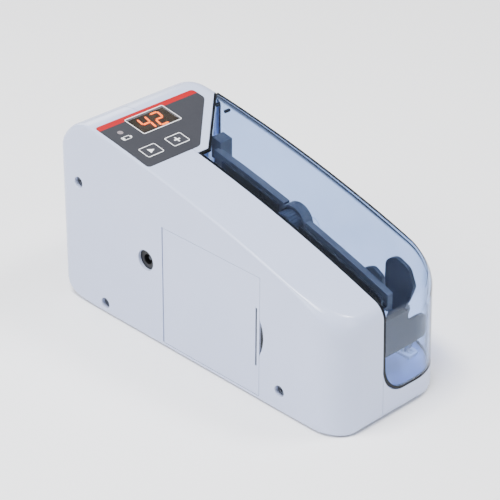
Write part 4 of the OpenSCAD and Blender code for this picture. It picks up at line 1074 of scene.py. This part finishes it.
def keys():
    for name, body, spot in (("start_key", "start_button", START), ("add_key", "add_button", ADD)):
        cap = slab(rectangle(*spot, KEY_L, KEY_W), -KEY_DEPTH, 0.0, KEY_CORNER)
        round_edges(cap, 0.25, 60, on_rim)
        piece(name.replace("key", "cap"), laid(cap), body, "key_film", slot="key_film",
              stands_for=[name])
        frame_line = slab(rectangle(*spot, KEY_L - 0.3, KEY_W - 0.3), *PRINT, 1.0, rim=0.42)
        printed(name + "_border", frame_line, body)
    d, s = START
    arrow = [(d - ARROW_HALF, s - ARROW_TAIL), (d + ARROW_HALF, s - ARROW_TAIL),
             (d, s + ARROW_POINT)]
    printed("start_symbol", slab(arrow, *PRINT), "start_button")
    d, s = ADD
    a, b = PLUS_HALF, PLUS_REACH
    plus = [(-a, -b), (a, -b), (a, -a), (b, -a), (b, a), (a, a), (a, b), (-a, b), (-a, a), (-b, a),
            (-b, -a), (-a, -a)]
    printed("add_symbol", slab([(d + p, s + q) for p, q in plus], *PRINT), "add_button")


def battery_symbol():
    d, s = BATTERY
    case = slab(rectangle(d, s, 2.8, 5.2), *PRINT, 0.3, rim=0.35)
    nub = slab(rectangle(d, s + 3.0, 1.2, 0.7), *PRINT)
    level = slab(rectangle(d, s - 1.6, 1.5, 0.9), *PRINT)
    printed("battery_symbol", joined(case, nub, level))


overlay()
display()
keys()
battery_symbol()

# ---- nodes that keep their shape and only get softer edges ------------------------------------

# The cradle's trough, up to this far across, takes a darker copy of its grey as painted shade
TROUGH_S = 12.9


def softened(name, finish, width, *, slot=None, called=None, inner=None):
    """A node with its edges rounded by width. With an inner finish, its near side takes that."""
    bm = bmesh.new()
    bm.from_mesh(frame["nodes"][name].data)
    bmesh.ops.scale(bm, vec=(1 / MM, 1 / MM, 1 / MM), verts=bm.verts)
    bmesh.ops.remove_doubles(bm, verts=bm.verts, dist=0.001)
    bmesh.ops.dissolve_limit(bm, angle_limit=math.radians(0.6), verts=bm.verts, edges=bm.edges)
    round_edges(bm, width, 32)
    finishes = [finish]
    if inner:
        finishes.append(inner)
        for face in bm.faces:
            face.material_index = int(face.calc_center_median().y < SPLIT + TROUGH_S)
    piece(called or name + "_part", bm, BODY_OF[name], *finishes, slot=slot or finish,
          stands_for=[name], sharp=40)


softened("battery_door", "white_shell", 0.2, called="door_panel")
# The cradle's near side takes the darker copy, painted shade under the cover's edge
softened("note_cradle", "dark_grey", 0.3, inner="trough_dark")
softened("front_guide", "trough_dark", 0.35, slot="dark_grey")
softened("jaw_bracket", "inner_white", 0.2)
softened("fixed_jaw", "jaw_grey", 0.5, slot="dark_grey")
softened("clamp_jaw", "jaw_grey", 0.5, slot="dark_grey")
softened("feed_wheel", "trough_dark", 0.25, slot="dark_grey")
softened("dc_jack", "black_plastic", 0.25)
softened("rubber_feet", "rubber", 0.2)
softened("battery_tray", "inner_white", 0.25)
softened("mechanism_plate", "inner_white", 0.2)
softened("motor", "steel", 0.3)

# ---- floor ------------------------------------------------------------------------------------

# Half the floor's width and its thickness, in metres
FLOOR_HALF, FLOOR_T = 3, 0.02

floor = as_object(block((-FLOOR_HALF, -FLOOR_HALF, -FLOOR_T), (FLOOR_HALF, FLOOR_HALF, 0)), "floor")
floor.data.materials.append(FINISHES["studio_floor"])
